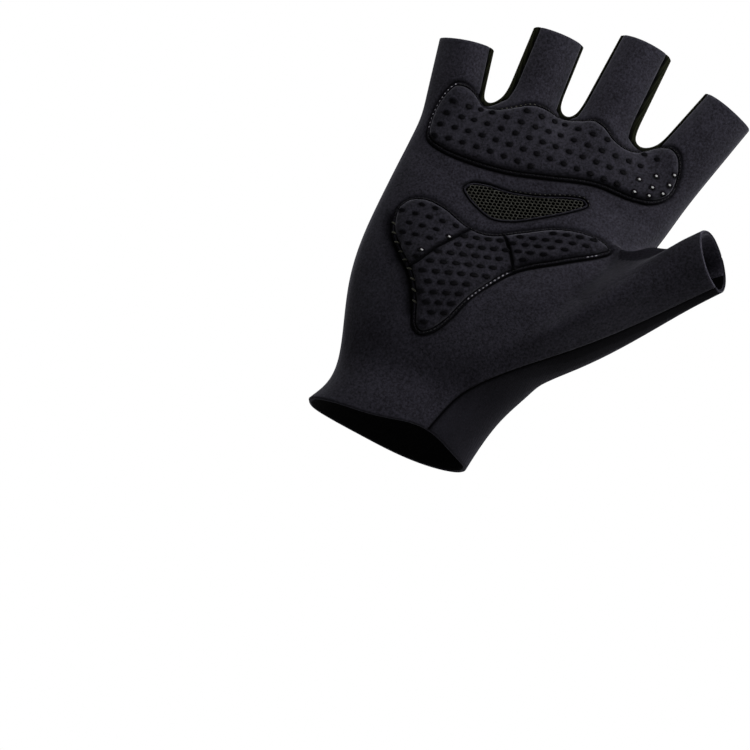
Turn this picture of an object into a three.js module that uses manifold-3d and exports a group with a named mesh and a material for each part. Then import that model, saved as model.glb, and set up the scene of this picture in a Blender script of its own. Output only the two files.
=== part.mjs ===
import * as THREE from 'three';
import { mergeVertices } from 'three/addons/utils/BufferGeometryUtils.js';
import Module from 'manifold-3d';

const wasm = await Module();
wasm.setup();

// Fingerless fitness glove for the right hand, in the shape that a hand gives it.
// Millimetres. +Z runs to the fingers, +X to the thumb, and the palm faces -Y.
// The origin is the middle of the wrist opening.

// Cloth
const WALL = 1.2;
const SEAM_GAP = 0.3;

// Hand: rings of columns from the wrist hem up to the finger roots
const RING = 32;
const RADIAL = 16;
const SQUARENESS = 0.72;
const KNUCKLE_Z = { ulnar: 103, middle: 121, radial: 124 };
// The wrist hem's height on its four sides, and how far it is drawn up beside the radial seam
const HEM_WAVE = { palm: -2.4, back: -3.4, radial: -0.5, ulnar: -4.5 };
const HEM_LIFT = { rise: 5.0, turn: 290, spread: 26 };

// at: share of the way up; ulnar, radial: x of the two edges; palm, back: depth either side of y = 0
// thenar, hypo: extra depth of the ball of the thumb and of the heel under the little finger
// hollow: dip in the middle of the palm; lean: y of the radial edge
// palmEnd, seam, backStart: angles of the last palm column, the radial seam and the first back column
const BODY = [
  { at: 0.00, ulnar: -30.0, radial: 28.0, palm: 18.5, back: 19.0, thenar: 0.0, hypo: 0.0,
    hollow: 0.0, lean: 0, palmEnd: 280, seam: 293, backStart: 307 },
  { at: 0.07, ulnar: -26.6, radial: 28.6, palm: 18.0, back: 18.5, thenar: 0.0, hypo: 0.0,
    hollow: 0.0, lean: 0, palmEnd: 281, seam: 294, backStart: 309 },
  { at: 0.15, ulnar: -27.0, radial: 30.2, palm: 17.5, back: 18.0, thenar: 1.0, hypo: 1.0,
    hollow: 0.0, lean: -1, palmEnd: 285, seam: 298, backStart: 319 },
  { at: 0.27, ulnar: -32.3, radial: 37.5, palm: 17.0, back: 17.0, thenar: 5.0, hypo: 2.0,
    hollow: 1.5, lean: -3, palmEnd: 296, seam: 312, backStart: 352 },
  { at: 0.385, ulnar: -37.4, radial: 44.0, palm: 16.0, back: 16.5, thenar: 8.0, hypo: 2.5,
    hollow: 3.0, lean: -4, palmEnd: 303, seam: 330, backStart: 392 },
  { at: 0.50, ulnar: -40.2, radial: 47.0, palm: 15.0, back: 16.5, thenar: 9.0, hypo: 2.5,
    hollow: 4.0, lean: -4, palmEnd: 306, seam: 340, backStart: 403 },
  { at: 0.62, ulnar: -41.5, radial: 49.5, palm: 14.0, back: 16.0, thenar: 7.0, hypo: 2.0,
    hollow: 3.5, lean: -3, palmEnd: 309, seam: 350, backStart: 403 },
  { at: 0.75, ulnar: -42.2, radial: 51.0, palm: 13.5, back: 15.5, thenar: 2.0, hypo: 1.5,
    hollow: 2.0, lean: -2, palmEnd: 316, seam: 360, backStart: 400 },
  { at: 0.83, ulnar: -42.6, radial: 52.0, palm: 13.5, back: 15.0, thenar: 0.0, hypo: 0.5,
    hollow: 0.5, lean: -1, palmEnd: 328, seam: 360, backStart: 390 },
  { at: 0.915, ulnar: -43.0, radial: 52.8, palm: 12.5, back: 13.8, thenar: 0.0, hypo: 0.0,
    hollow: 0.0, lean: -1, palmEnd: 340, seam: 360, backStart: 380 },
];

// Fingers: x, y, z of the root's middle and of the tip's; width and depth of the tube at root and tip
// left, right: how far the root's ulnar and radial sides stand above the root's middle; twist in degrees
const FINGERS = [
  { name: 'little', root: [-33.9, -1.0, 109.3], tip: [-39.7, -5.5, 130.5], rootWide: 21.0, tipWide: 20.6,
    rootDeep: 21.0, tipDeep: 21.0, left: -5.0, right: 6.6, twist: -4 },
  { name: 'ring', root: [-11.3, -1.5, 122.0], tip: [-13.9, -7.0, 147.4], rootWide: 22.6, tipWide: 22.3,
    rootDeep: 22.5, tipDeep: 22.0, left: 0.5, right: 4.5, twist: 8 },
  { name: 'middle', root: [14.9, -1.5, 127.5], tip: [14.4, -7.0, 158.8], rootWide: 25.2, tipWide: 23.4,
    rootDeep: 23.0, tipDeep: 22.5, left: 0.5, right: 1.5, twist: -10 },
  { name: 'index', root: [42.8, -2.0, 127.0], tip: [48.4, -8.0, 151.8], rootWide: 22.6, tipWide: 21.2,
    rootDeep: 23.0, tipDeep: 22.0, left: 3.2, right: -2.0, twist: -6 },
];
const FINGER_SHARES = [0, 0.27, 0.55, 1];
const CROTCH_DROP = 1.7;
const CROTCH_DEPTH = 5.5;
const TABBED = ['ring', 'middle'];
const SEAM_SWELL = 2.7;
const LAST = FINGERS.length - 1;

// Thumb: its opening, the way it points, and how its walls leave the hand at the web and at the wrist side
// The seams' angles are measured round the opening from the web, over the palm's side; firstRow and lastRow are
// the rings of the hand that its hole lies between; pull is how firmly the walls keep their leaving direction
const THUMB = {
  end: [66.6, -30.0, 94.6], axis: [0.57, -0.56, 0.59], rim: [0.66, -0.54, 0.51], web: [-0.69, -0.18, 0.70],
  wide: 22.4, deep: 21.5, upperSeam: -90, lowerSeam: 150, bands: 5,
  webLeave: [0.55, -0.80, 0.10], lowLeave: [0.70, -0.24, 0.67],
  pull: 0.9, firstRow: 3, lastRow: 7,
};

// Pads: outlines as seen from the palm, x and z of the points that a smooth closed curve runs through
const PAD = { lift: 0.3, thick: 2.2 };
const KNUCKLE_PAD = [
  { x: -37.6, z: 114.2 }, { x: -33.5, z: 115.8 }, { x: -29.5, z: 115.2 }, { x: -25.0, z: 113.0 },
  { x: -20.6, z: 113.8 }, { x: -15.8, z: 117.0 }, { x: -11.6, z: 120.2 }, { x: -7.0, z: 121.8 },
  { x: 0.5, z: 122.2 }, { x: 6.0, z: 124.0 }, { x: 10.5, z: 126.2 }, { x: 15.0, z: 125.4 },
  { x: 20.0, z: 122.9 }, { x: 25.0, z: 122.6 }, { x: 30.0, z: 125.3 }, { x: 34.0, z: 128.8 },
  { x: 38.5, z: 130.2 }, { x: 42.5, z: 127.8 }, { x: 45.6, z: 121.0 }, { x: 45.4, z: 114.0 },
  { x: 41.0, z: 108.8 }, { x: 33.8, z: 106.0 }, { x: 21.0, z: 104.2 }, { x: 5.0, z: 98.1 },
  { x: -8.0, z: 93.3 }, { x: -21.5, z: 90.7 }, { x: -31.0, z: 90.8 }, { x: -36.8, z: 93.0 },
  { x: -39.0, z: 98.5 }, { x: -39.6, z: 107.5 },
];
const HEEL_PAD = [
  { x: -34.2, z: 66.0 }, { x: -31.8, z: 70.6 }, { x: -27.0, z: 73.0 }, { x: -20.0, z: 73.0 },
  { x: -10.0, z: 70.9 }, { x: -3.0, z: 72.0 }, { x: 6.0, z: 77.8 }, { x: 16.0, z: 84.1 },
  { x: 26.0, z: 87.1 }, { x: 34.0, z: 87.0 }, { x: 36.4, z: 85.0 }, { x: 33.5, z: 81.2 },
  { x: 23.0, z: 72.6 }, { x: 12.0, z: 64.2 }, { x: 6.0, z: 55.5 }, { x: 1.8, z: 46.5 },
  { x: -0.8, z: 37.5 }, { x: -3.8, z: 31.7 }, { x: -7.2, z: 29.3 }, { x: -10.3, z: 30.5 },
  { x: -14.0, z: 37.5 }, { x: -19.0, z: 45.0 }, { x: -26.5, z: 51.6 }, { x: -32.0, z: 57.5 },
];
const VENT = [
  { x: -17.8, z: 81.8 }, { x: -16.4, z: 84.9 }, { x: -11.5, z: 87.0 }, { x: -3.4, z: 88.7 },
  { x: 6.0, z: 92.1 }, { x: 15.5, z: 96.8 }, { x: 20.3, z: 98.2 }, { x: 22.3, z: 96.6 },
  { x: 18.5, z: 92.0 }, { x: 10.0, z: 84.9 }, { x: 2.0, z: 79.3 }, { x: -4.5, z: 76.9 },
  { x: -10.5, z: 77.8 }, { x: -15.5, z: 79.8 },
];
const CREASE_GAP = 0.3;
const ULNAR_CREASE = [
  { x: -24.0, z: 43.5 }, { x: -20.1, z: 48.1 }, { x: -15.9, z: 57.4 }, { x: -12.9, z: 62.8 },
  { x: -8.6, z: 70.6 }, { x: -6.0, z: 76.0 },
];
const RADIAL_CREASE = [
  { x: -2.0, z: 78.0 }, { x: 1.4, z: 74.2 }, { x: 7.6, z: 67.7 }, { x: 10.6, z: 63.1 },
  { x: 13.5, z: 58.0 },
];
const ULNAR_FAR = [{ x: -60, z: 90 }, { x: -60, z: 30 }];
const RADIAL_FAR = [{ x: 60, z: 40 }, { x: 60, z: 100 }, { x: 10, z: 100 }];
const OUTLINE_STEPS = 60;
const CUT_DEPTH = 60;

// Net of the vent: how thick it is, and how far it lies below the palm's face
const NET = { thick: 0.6, depth: 0.3 };

// Cloth colours, roughness
const SUEDE = { color: 0x1f1f24, roughness: 0.9, metalness: 0.0 };
const KNIT = { color: 0x141416, roughness: 0.85, metalness: 0.0 };
const STRETCH = { color: 0x11120a, roughness: 0.8, metalness: 0.0 };
const NET_CLOTH = { color: 0x24251f, roughness: 0.8, metalness: 0.0 };

const lerp = THREE.MathUtils.lerp;
const rad = THREE.MathUtils.degToRad;
const vec = (a) => new THREE.Vector3(...a);
const bell = (at, middle, spread) => Math.exp(-(((at - middle) / spread) ** 2));
const smooth = (t) => t * t * (3 - 2 * t);

// Height of the finger roots' line across the hand
function knuckleHeight(across) {
  const { ulnar, middle, radial } = KNUCKLE_Z;
  const ends = ulnar * (1 - across) * (1 - 2 * across) + radial * across * (2 * across - 1);
  return ends + 4 * middle * across * (1 - across);
}

function hemHeight(turn) {
  const c = Math.cos(rad(turn));
  const s = Math.sin(rad(turn));
  const side = c > 0 ? HEM_WAVE.radial : HEM_WAVE.ulnar;
  const face = s > 0 ? HEM_WAVE.back : HEM_WAVE.palm;
  const lift = HEM_LIFT.rise * bell(turn, HEM_LIFT.turn, HEM_LIFT.spread);
  return side * c * c + face * s * s + lift;
}

// One point of a ring of the hand; turn is 180 at the ulnar edge, 270 on the palm, 360 at the radial edge
function bodyPoint(row, turn) {
  const c = Math.cos(rad(turn));
  const s = Math.sin(rad(turn));
  const across = (1 + c) / 2;
  const bulge = row.thenar * bell(across, 0.84, 0.2) + row.hypo * bell(across, 0.16, 0.18)
    - row.hollow * bell(across, 0.48, 0.22);
  const depth = s < 0 ? row.palm + bulge : row.back;
  const y = Math.sign(s) * Math.abs(s) ** SQUARENESS * depth + row.lean * across;
  const z = hemHeight(turn) * (1 - row.at) + knuckleHeight(across) * row.at;
  return new THREE.Vector3(lerp(row.ulnar, row.radial, across), y, z);
}

// Six points round a finger, from the palm's ulnar side; share is 0 at the root and 1 at the rim
function fingerRing(finger, share) {
  const root = vec(finger.root);
  const tip = vec(finger.tip);
  const axis = tip.clone().sub(root);
  const length = axis.length();
  axis.normalize();
  const side = new THREE.Vector3().crossVectors(new THREE.Vector3(0, 1, 0), axis).normalize();
  side.applyAxisAngle(axis, rad(finger.twist));
  const front = new THREE.Vector3().crossVectors(side, axis).normalize();
  const wide = lerp(finger.rootWide, finger.tipWide, share) / 2;
  const deep = lerp(finger.rootDeep, finger.tipDeep, share) / 2;
  return [210, 270, 330, 30, 90, 150].map((turn) => {
    const c = Math.cos(rad(turn));
    const s = Math.sin(rad(turn));
    const rise = lerp(finger.left, finger.right, (c + 1) / 2);
    const along = lerp(rise, length, share);
    const centre = root.clone().addScaledVector(axis, along);
    return centre.addScaledVector(side, wide * c).addScaledVector(front, -deep * s);
  });
}

// The coarse net of four-sided faces that the whole skin is refined from
function buildCage() {
  const points = [];
  const faces = [];
  const add = (p) => points.push(p) - 1;
  const quad = (a, b, c, d, panel, padded = false) => faces.push({ corners: [a, b, c, d], panel, padded });

  // Finger rings, with a seam point on the outer side of the little and index fingers
  const rings = FINGERS.map((finger, f) => {
    const seamBetween = (palm, back, across) => palm.clone().add(back).multiplyScalar(0.5)
      .addScaledVector(palm.clone().sub(across).normalize(), SEAM_SWELL);
    return FINGER_SHARES.map((share) => {
      const [pL, pC, pR, bR, bC, bL] = fingerRing(finger, share);
      const ring = { pL, pC, pR, bR, bC, bL };
      if (f === 0) ring.seam = seamBetween(pL, bL, pR);
      if (f === LAST) ring.seam = seamBetween(pR, bR, pL);
      return Object.fromEntries(Object.entries(ring).map(([key, p]) => [key, add(p)]));
    });
  });

  // The top ring of the hand runs through the finger roots and the crotches between them
  const top = new Array(RING);
  top[0] = rings[0][0].seam;
  top[RADIAL] = rings[LAST][0].seam;
  FINGERS.forEach((finger, f) => {
    const root = rings[f][0];
    [root.pL, root.pC, root.pR].forEach((p, i) => { top[4 * f + 1 + i] = p; });
    [root.bL, root.bC, root.bR].forEach((p, i) => { top[RING - (4 * f + 1 + i)] = p; });
  });
  for (let f = 0; f < LAST; f += 1) {
    const here = rings[f][0];
    const next = rings[f + 1][0];
    const crotch = (a, b, y) => {
      const middle = points[a].clone().add(points[b]).multiplyScalar(0.5);
      return add(middle.setY(y).setZ(middle.z - CROTCH_DROP));
    };
    top[4 * f + 4] = crotch(here.pR, next.pL, -CROTCH_DEPTH);
    top[RING - (4 * f + 4)] = crotch(here.bR, next.bL, CROTCH_DEPTH);
  }

  // Angle of each column at the top, from its place across the hand
  const ulnar = points[top[0]].x;
  const radial = points[top[RADIAL]].x;
  const topTurn = top.map((p, k) => {
    const c = THREE.MathUtils.clamp(2 * (points[p].x - ulnar) / (radial - ulnar) - 1, -1, 1);
    const turn = THREE.MathUtils.radToDeg(Math.acos(c));
    return k <= RADIAL ? 360 - turn : 360 + turn;
  });

  // Hand rings below the top one
  const grid = BODY.map((row) => {
    const ring = [];
    for (let k = 0; k < RING; k += 1) {
      let even = row.seam;
      if (k < RADIAL) even = lerp(180, row.palmEnd, k / (RADIAL - 1));
      if (k > RADIAL) even = lerp(row.backStart, 540, (k - RADIAL - 1) / (RADIAL - 1));
      const turn = lerp(even, topTurn[k], row.at ** 3);
      const open = k === RADIAL && row.at > BODY[THUMB.firstRow].at && row.at < BODY[THUMB.lastRow].at;
      ring.push(open ? -1 : add(bodyPoint(row, turn)));
    }
    return ring;
  });
  grid.push(top);

  for (let j = 0; j < grid.length - 1; j += 1) {
    for (let k = 0; k < RING; k += 1) {
      const n = (k + 1) % RING;
      const thumbHole = (k === RADIAL - 1 || k === RADIAL) && j >= THUMB.firstRow && j < THUMB.lastRow;
      const panel = k < RADIAL ? 'palm' : 'back';
      const padded = panel === 'palm' && j > 1;
      if (!thumbHole) quad(grid[j][k], grid[j][n], grid[j + 1][n], grid[j + 1][k], panel, padded);
    }
  }

  // Fingers
  FINGERS.forEach((finger, f) => {
    for (let band = 0; band < FINGER_SHARES.length - 1; band += 1) {
      const a = rings[f][band];
      const b = rings[f][band + 1];
      const strip = (from, to, panel) => {
        quad(a[from], a[to], b[to], b[from], panel, panel === 'palm' && band === 0);
      };
      const tabbed = band === FINGER_SHARES.length - 2 && TABBED.includes(finger.name);
      const backPanel = tabbed ? `tab_${finger.name}` : 'back';
      strip('pL', 'pC', 'palm');
      strip('pC', 'pR', 'palm');
      if (f < LAST) strip('pR', 'bR', `strip_${f}`);
      else {
        strip('pR', 'seam', 'palm');
        strip('seam', 'bR', 'back');
      }
      strip('bR', 'bC', backPanel);
      strip('bC', 'bL', backPanel);
      if (f > 0) strip('bL', 'pL', `strip_${f - 1}`);
      else {
        strip('bL', 'seam', 'back');
        strip('seam', 'pL', 'palm');
      }
    }
    if (f < LAST) {
      const palmMiddle = top[4 * f + 4];
      const backMiddle = top[RING - (4 * f + 4)];
      const here = rings[f][0];
      const next = rings[f + 1][0];
      quad(here.pR, palmMiddle, backMiddle, here.bR, `strip_${f}`);
      quad(palmMiddle, next.pL, next.bL, backMiddle, `strip_${f}`);
    }
  });

  // Thumb: its rings start on the rim of the hole that the hand's rings leave
  const { firstRow, lastRow, bands } = THUMB;
  const loop = [grid[lastRow][RADIAL]];
  for (let j = lastRow; j >= firstRow; j -= 1) loop.push(grid[j][RADIAL - 1]);
  loop.push(grid[firstRow][RADIAL]);
  for (let j = firstRow; j <= lastRow; j += 1) loop.push(grid[j][RADIAL + 1]);
  const half = loop.length / 2;
  const axis = vec(THUMB.axis).normalize();
  const rimNormal = vec(THUMB.rim).normalize();
  const web = vec(THUMB.web);
  web.addScaledVector(rimNormal, -web.dot(rimNormal)).normalize();
  const palmward = new THREE.Vector3().crossVectors(rimNormal, web);
  if (palmward.y > 0) palmward.negate();
  const end = vec(THUMB.end);
  const walls = loop.map((start, i) => {
    const turn = rad(i < half ? lerp(THUMB.upperSeam, THUMB.lowerSeam, i / half)
      : lerp(THUMB.lowerSeam, THUMB.upperSeam + 360, (i - half) / half));
    const rim = end.clone().addScaledVector(web, Math.cos(turn) * THUMB.wide / 2)
      .addScaledVector(palmward, Math.sin(turn) * THUMB.deep / 2);
    const from = points[start];
    const reach = rim.distanceTo(from);
    const leave = vec(THUMB.webLeave).lerp(vec(THUMB.lowLeave), (1 - Math.cos(turn)) / 2).normalize();
    const wall = [start];
    for (let band = 1; band <= bands; band += 1) {
      const t = band / bands;
      const out = from.clone().addScaledVector(leave, reach * t * THUMB.pull);
      const home = rim.clone().addScaledVector(axis, -reach * (1 - t) * THUMB.pull);
      wall.push(add(out.lerp(home, smooth(t))));
    }
    return wall;
  });
  walls.forEach((wall, i) => {
    const next = walls[(i + 1) % walls.length];
    for (let band = 0; band < bands; band += 1) {
      quad(wall[band], next[band], next[band + 1], wall[band + 1], i < half ? 'palm' : 'back');
    }
  });
  return { points, faces };
}

const edgeKey = (a, b) => (a < b ? `${a}_${b}` : `${b}_${a}`);

function edgeTable(faces) {
  const edges = new Map();
  faces.forEach((face, f) => {
    face.corners.forEach((a, i) => {
      const b = face.corners[(i + 1) % 4];
      const key = edgeKey(a, b);
      if (!edges.has(key)) edges.set(key, { ends: [a, b], faces: [] });
      edges.get(key).faces.push(f);
    });
  });
  return edges;
}

function average(list) {
  const sum = new THREE.Vector3();
  list.forEach((p) => sum.add(p));
  return sum.divideScalar(list.length);
}

// One step of the Catmull-Clark rule, with the rims as smooth curves
function refine({ points, faces }) {
  const edges = edgeTable(faces);
  const next = [];
  const add = (p) => next.push(p) - 1;
  const facePoint = faces.map((face) => add(average(face.corners.map((i) => points[i]))));
  const edgePoint = new Map();
  const around = points.map(() => ({ faces: new Set(), middles: [], rim: [] }));
  edges.forEach((edge, key) => {
    const [a, b] = edge.ends;
    const middle = points[a].clone().add(points[b]).multiplyScalar(0.5);
    const inner = edge.faces.length === 2;
    const beside = edge.faces.map((f) => next[facePoint[f]]);
    edgePoint.set(key, add(inner ? average([points[a], points[b], ...beside]) : middle.clone()));
    edge.ends.forEach((v, i) => {
      around[v].middles.push(middle);
      edge.faces.forEach((f) => around[v].faces.add(f));
      if (!inner) around[v].rim.push(points[edge.ends[1 - i]]);
    });
  });
  const moved = points.map((p, v) => {
    const ring = around[v];
    if (ring.rim.length === 2) {
      return add(p.clone().multiplyScalar(6).add(ring.rim[0]).add(ring.rim[1]).divideScalar(8));
    }
    const n = ring.middles.length;
    const faceMean = average([...ring.faces].map((f) => next[facePoint[f]]));
    return add(faceMean.addScaledVector(average(ring.middles), 2).addScaledVector(p, n - 3).divideScalar(n));
  });
  const smaller = [];
  faces.forEach((face, f) => {
    face.corners.forEach((v, i) => {
      const before = face.corners[(i + 3) % 4];
      const after = face.corners[(i + 1) % 4];
      const ahead = edgePoint.get(edgeKey(v, after));
      const behind = edgePoint.get(edgeKey(before, v));
      smaller.push({ corners: [moved[v], ahead, facePoint[f], behind], panel: face.panel, padded: face.padded });
    });
  });
  return { points: next, faces: smaller };
}

// Moves every point to where endless refining would take it
function settle({ points, faces }) {
  const edges = edgeTable(faces);
  const around = points.map(() => ({ near: [], far: [], rim: [] }));
  edges.forEach((edge) => {
    const [a, b] = edge.ends;
    around[a].near.push(points[b]);
    around[b].near.push(points[a]);
    if (edge.faces.length === 1) {
      around[a].rim.push(points[b]);
      around[b].rim.push(points[a]);
    }
  });
  faces.forEach(({ corners }) => {
    corners.forEach((v, i) => around[v].far.push(points[corners[(i + 2) % 4]]));
  });
  const settled = points.map((p, v) => {
    const { near, far, rim } = around[v];
    if (rim.length === 2) return p.clone().multiplyScalar(4).add(rim[0]).add(rim[1]).divideScalar(6);
    const n = near.length;
    const sum = p.clone().multiplyScalar(n * n);
    near.forEach((q) => sum.addScaledVector(q, 4));
    far.forEach((q) => sum.add(q));
    return sum.divideScalar(n * (n + 5));
  });
  return { points: settled, faces };
}

function normalsOf({ points, faces }) {
  const normals = points.map(() => new THREE.Vector3());
  faces.forEach(({ corners: [a, b, c, d] }) => {
    const across = points[c].clone().sub(points[a]);
    const along = points[d].clone().sub(points[b]);
    [a, b, c, d].forEach((v) => normals[v].add(new THREE.Vector3().crossVectors(across, along)));
  });
  return normals.map((n) => n.normalize());
}

const skin = settle(refine(buildCage()));
const skinNormals = normalsOf(skin);

// A closed wall from the faces of one panel, from outer to inner offset along the skin's normals.
// Its cut edges lie half a seam gap inside the panel's outline.
function wallFrom(faces, outer, inner, edgeInset) {
  const used = new Map();
  const base = [];
  faces.forEach((face) => face.corners.forEach((v) => {
    if (!used.has(v)) {
      used.set(v, base.length);
      base.push({ at: skin.points[v], normal: skinNormals[v], inset: new THREE.Vector3(), edges: 0 });
    }
  }));
  const borders = [];
  edgeTable(faces).forEach((edge) => {
    if (edge.faces.length === 2) return;
    const face = faces[edge.faces[0]];
    const i = face.corners.indexOf(edge.ends[0]);
    const forward = face.corners[(i + 1) % 4] === edge.ends[1];
    const [a, b] = forward ? edge.ends : [edge.ends[1], edge.ends[0]];
    const along = skin.points[b].clone().sub(skin.points[a]).normalize();
    borders.push([used.get(a), used.get(b)]);
    [a, b].forEach((v) => {
      const point = base[used.get(v)];
      point.inset.add(new THREE.Vector3().crossVectors(point.normal, along).normalize());
      point.edges += 1;
    });
  });
  const positions = [];
  base.forEach((point) => {
    const inset = point.inset.clone();
    if (point.edges > 0) inset.multiplyScalar(edgeInset * point.edges / inset.lengthSq());
    for (const offset of [outer, inner]) {
      const p = point.at.clone().addScaledVector(point.normal, offset).add(inset);
      positions.push(p.x, p.y, p.z);
    }
  });
  const index = [];
  const outside = (i) => 2 * i;
  const inside = (i) => 2 * i + 1;
  faces.forEach((face) => {
    const [a, b, c, d] = face.corners.map((v) => used.get(v));
    const [ac, bd] = [base[a].at.distanceTo(base[c].at), base[b].at.distanceTo(base[d].at)];
    const halves = ac < bd ? [[a, b, c], [a, c, d]] : [[a, b, d], [b, c, d]];
    halves.forEach(([p, q, r]) => {
      index.push(outside(p), outside(q), outside(r));
      index.push(inside(p), inside(r), inside(q));
    });
  });
  borders.forEach(([a, b]) => {
    index.push(outside(b), outside(a), inside(a), outside(b), inside(a), inside(b));
  });
  const geometry = new THREE.BufferGeometry();
  geometry.setAttribute('position', new THREE.Float32BufferAttribute(positions, 3));
  geometry.setIndex(index);
  return geometry;
}

// A shape from manifold-3d as a geometry, and the other way round
function solidOf(geometry) {
  const bare = geometry.clone();
  bare.deleteAttribute('normal');
  bare.deleteAttribute('uv');
  const merged = mergeVertices(bare, 1e-5);
  return new wasm.Manifold(new wasm.Mesh({
    numProp: 3,
    vertProperties: new Float32Array(merged.attributes.position.array),
    triVerts: new Uint32Array(merged.index.array),
  }));
}

function geometryOf(solid) {
  const mesh = solid.getMesh();
  const geometry = new THREE.BufferGeometry();
  geometry.setAttribute('position', new THREE.BufferAttribute(new Float32Array(mesh.vertProperties), 3));
  geometry.setIndex(new THREE.BufferAttribute(new Uint32Array(mesh.triVerts), 1));
  return geometry;
}

// Points of the smooth closed curve through a table, moved inward by inset
function outline(table, inset) {
  const ring = new THREE.CatmullRomCurve3(table.map(({ x, z }) => new THREE.Vector3(x, z, 0)), true);
  const points = ring.getSpacedPoints(OUTLINE_STEPS).slice(0, -1);
  const clockwise = THREE.ShapeUtils.area(points) < 0;
  return points.map((p, i) => {
    const along = points[(i + 1) % points.length].clone().sub(points.at(i - 1)).normalize();
    const inward = new THREE.Vector2(-along.y, along.x).multiplyScalar(clockwise ? -inset : inset);
    return new THREE.Vector2(p.x, p.y).add(inward);
  });
}

// A straight column through the palm, seen from the palm as the given outline
function column(points) {
  const shape = new THREE.Shape(points);
  const geometry = new THREE.ExtrudeGeometry(shape, { depth: CUT_DEPTH, bevelEnabled: false });
  geometry.rotateX(Math.PI / 2);
  return solidOf(geometry);
}

const panelFaces = (panel) => skin.faces.filter((face) => face.panel === panel);
const padFaces = skin.faces.filter((face) => face.padded);
const layer = (low, high) => solidOf(wallFrom(padFaces, high, low, 0));

const padding = layer(PAD.lift, PAD.lift + PAD.thick);
const padOf = (table) => padding.intersect(column(outline(table, 0)));

// A column through all that lies beyond a crease, short of it by half the gap, or past it if side is -1
function beyondCrease(crease, side, far) {
  const line = crease.map(({ x, z }, i) => {
    const before = crease[Math.max(i - 1, 0)];
    const after = crease[Math.min(i + 1, crease.length - 1)];
    const along = new THREE.Vector2(after.x - before.x, after.z - before.z).normalize();
    const across = new THREE.Vector2(-along.y, along.x);
    return new THREE.Vector2(x, z).addScaledVector(across, side * CREASE_GAP / 2);
  });
  return column([...line, ...far.map(({ x, z }) => new THREE.Vector2(x, z))]);
}

const glove = new THREE.Group();

function place(name, geometry, finish) {
  geometry.computeVertexNormals();
  const mesh = new THREE.Mesh(geometry, new THREE.MeshStandardMaterial(finish));
  mesh.name = name;
  glove.add(mesh);
}

const panel = (name) => wallFrom(panelFaces(name), 0, -WALL, SEAM_GAP / 2);
const window = column(outline(VENT, 0));
place('palm_panel', geometryOf(solidOf(panel('palm')).subtract(window)), SUEDE);
place('back_panel', panel('back'), KNIT);
place('fourchette_little_ring', panel('strip_0'), STRETCH);
place('fourchette_ring_middle', panel('strip_1'), STRETCH);
place('fourchette_middle_index', panel('strip_2'), STRETCH);
TABBED.forEach((name) => place(`pull_tab_${name}`, panel(`tab_${name}`), SUEDE));

place('knuckle_pad', geometryOf(padOf(KNUCKLE_PAD)), SUEDE);
const heel = padOf(HEEL_PAD);
place('heel_pad_ulnar', geometryOf(heel.intersect(beyondCrease(ULNAR_CREASE, 1, ULNAR_FAR))), SUEDE);
place('heel_pad_radial', geometryOf(heel.intersect(beyondCrease(RADIAL_CREASE, 1, RADIAL_FAR))), SUEDE);
const ulnarPart = beyondCrease(ULNAR_CREASE, -1, ULNAR_FAR);
const radialPart = beyondCrease(RADIAL_CREASE, -1, RADIAL_FAR);
place('heel_pad_centre', geometryOf(heel.subtract(ulnarPart).subtract(radialPart)), SUEDE);

const net = layer(-NET.depth - NET.thick, -NET.depth).intersect(column(outline(VENT, SEAM_GAP)));
place('mesh_vent', geometryOf(net), NET_CLOTH);

export default glove;
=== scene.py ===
from math import cos, sin, radians, degrees, acos, pi, sqrt

import bpy
import numpy as np
from mathutils import Matrix, Vector
from mathutils.bvhtree import BVHTree
from mathutils.geometry import delaunay_2d_cdt
from mathutils.kdtree import KDTree


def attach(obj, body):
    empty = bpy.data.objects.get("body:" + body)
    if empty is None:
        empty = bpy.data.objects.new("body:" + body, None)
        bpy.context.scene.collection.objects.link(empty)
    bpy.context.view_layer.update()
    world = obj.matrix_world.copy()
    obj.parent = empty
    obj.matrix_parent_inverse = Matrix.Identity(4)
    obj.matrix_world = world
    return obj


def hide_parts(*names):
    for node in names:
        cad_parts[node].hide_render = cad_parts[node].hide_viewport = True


# Fingerless fitness glove for the right hand, dressed over its CAD solids.
# Shapes are worked out in millimetres and written to Blender in metres.
# +Z runs to the fingers, +X to the thumb, and the palm faces -Y.

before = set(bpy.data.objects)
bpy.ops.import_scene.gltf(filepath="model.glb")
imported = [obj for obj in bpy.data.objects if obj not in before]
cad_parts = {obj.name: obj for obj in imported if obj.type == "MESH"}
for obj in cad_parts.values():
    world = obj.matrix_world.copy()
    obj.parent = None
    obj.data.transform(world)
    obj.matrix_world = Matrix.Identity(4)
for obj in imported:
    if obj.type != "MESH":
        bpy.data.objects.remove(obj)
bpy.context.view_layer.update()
MM = 0.001
# The columns of x and z, for a flat view from the palm
XZ = [0, 2]

# Cloth
WALL = 1.2
FINE_LEVEL = 4
COARSE_LEVEL = 3

# Hand: rings of columns from the wrist hem up to the finger roots
RING = 32
RADIAL = 16
PER_FINGER = 4
SQUARENESS = 0.72
KNUCKLE_Z = {"ulnar": 103, "middle": 121, "radial": 124}
# The wrist hem's height on its four sides, and how far it is drawn up beside the radial seam
HEM_WAVE = {"palm": -2.4, "back": -3.4, "radial": -0.5, "ulnar": -4.5}
HEM_LIFT = {"rise": 5.0, "turn": 290, "spread": 26}

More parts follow.
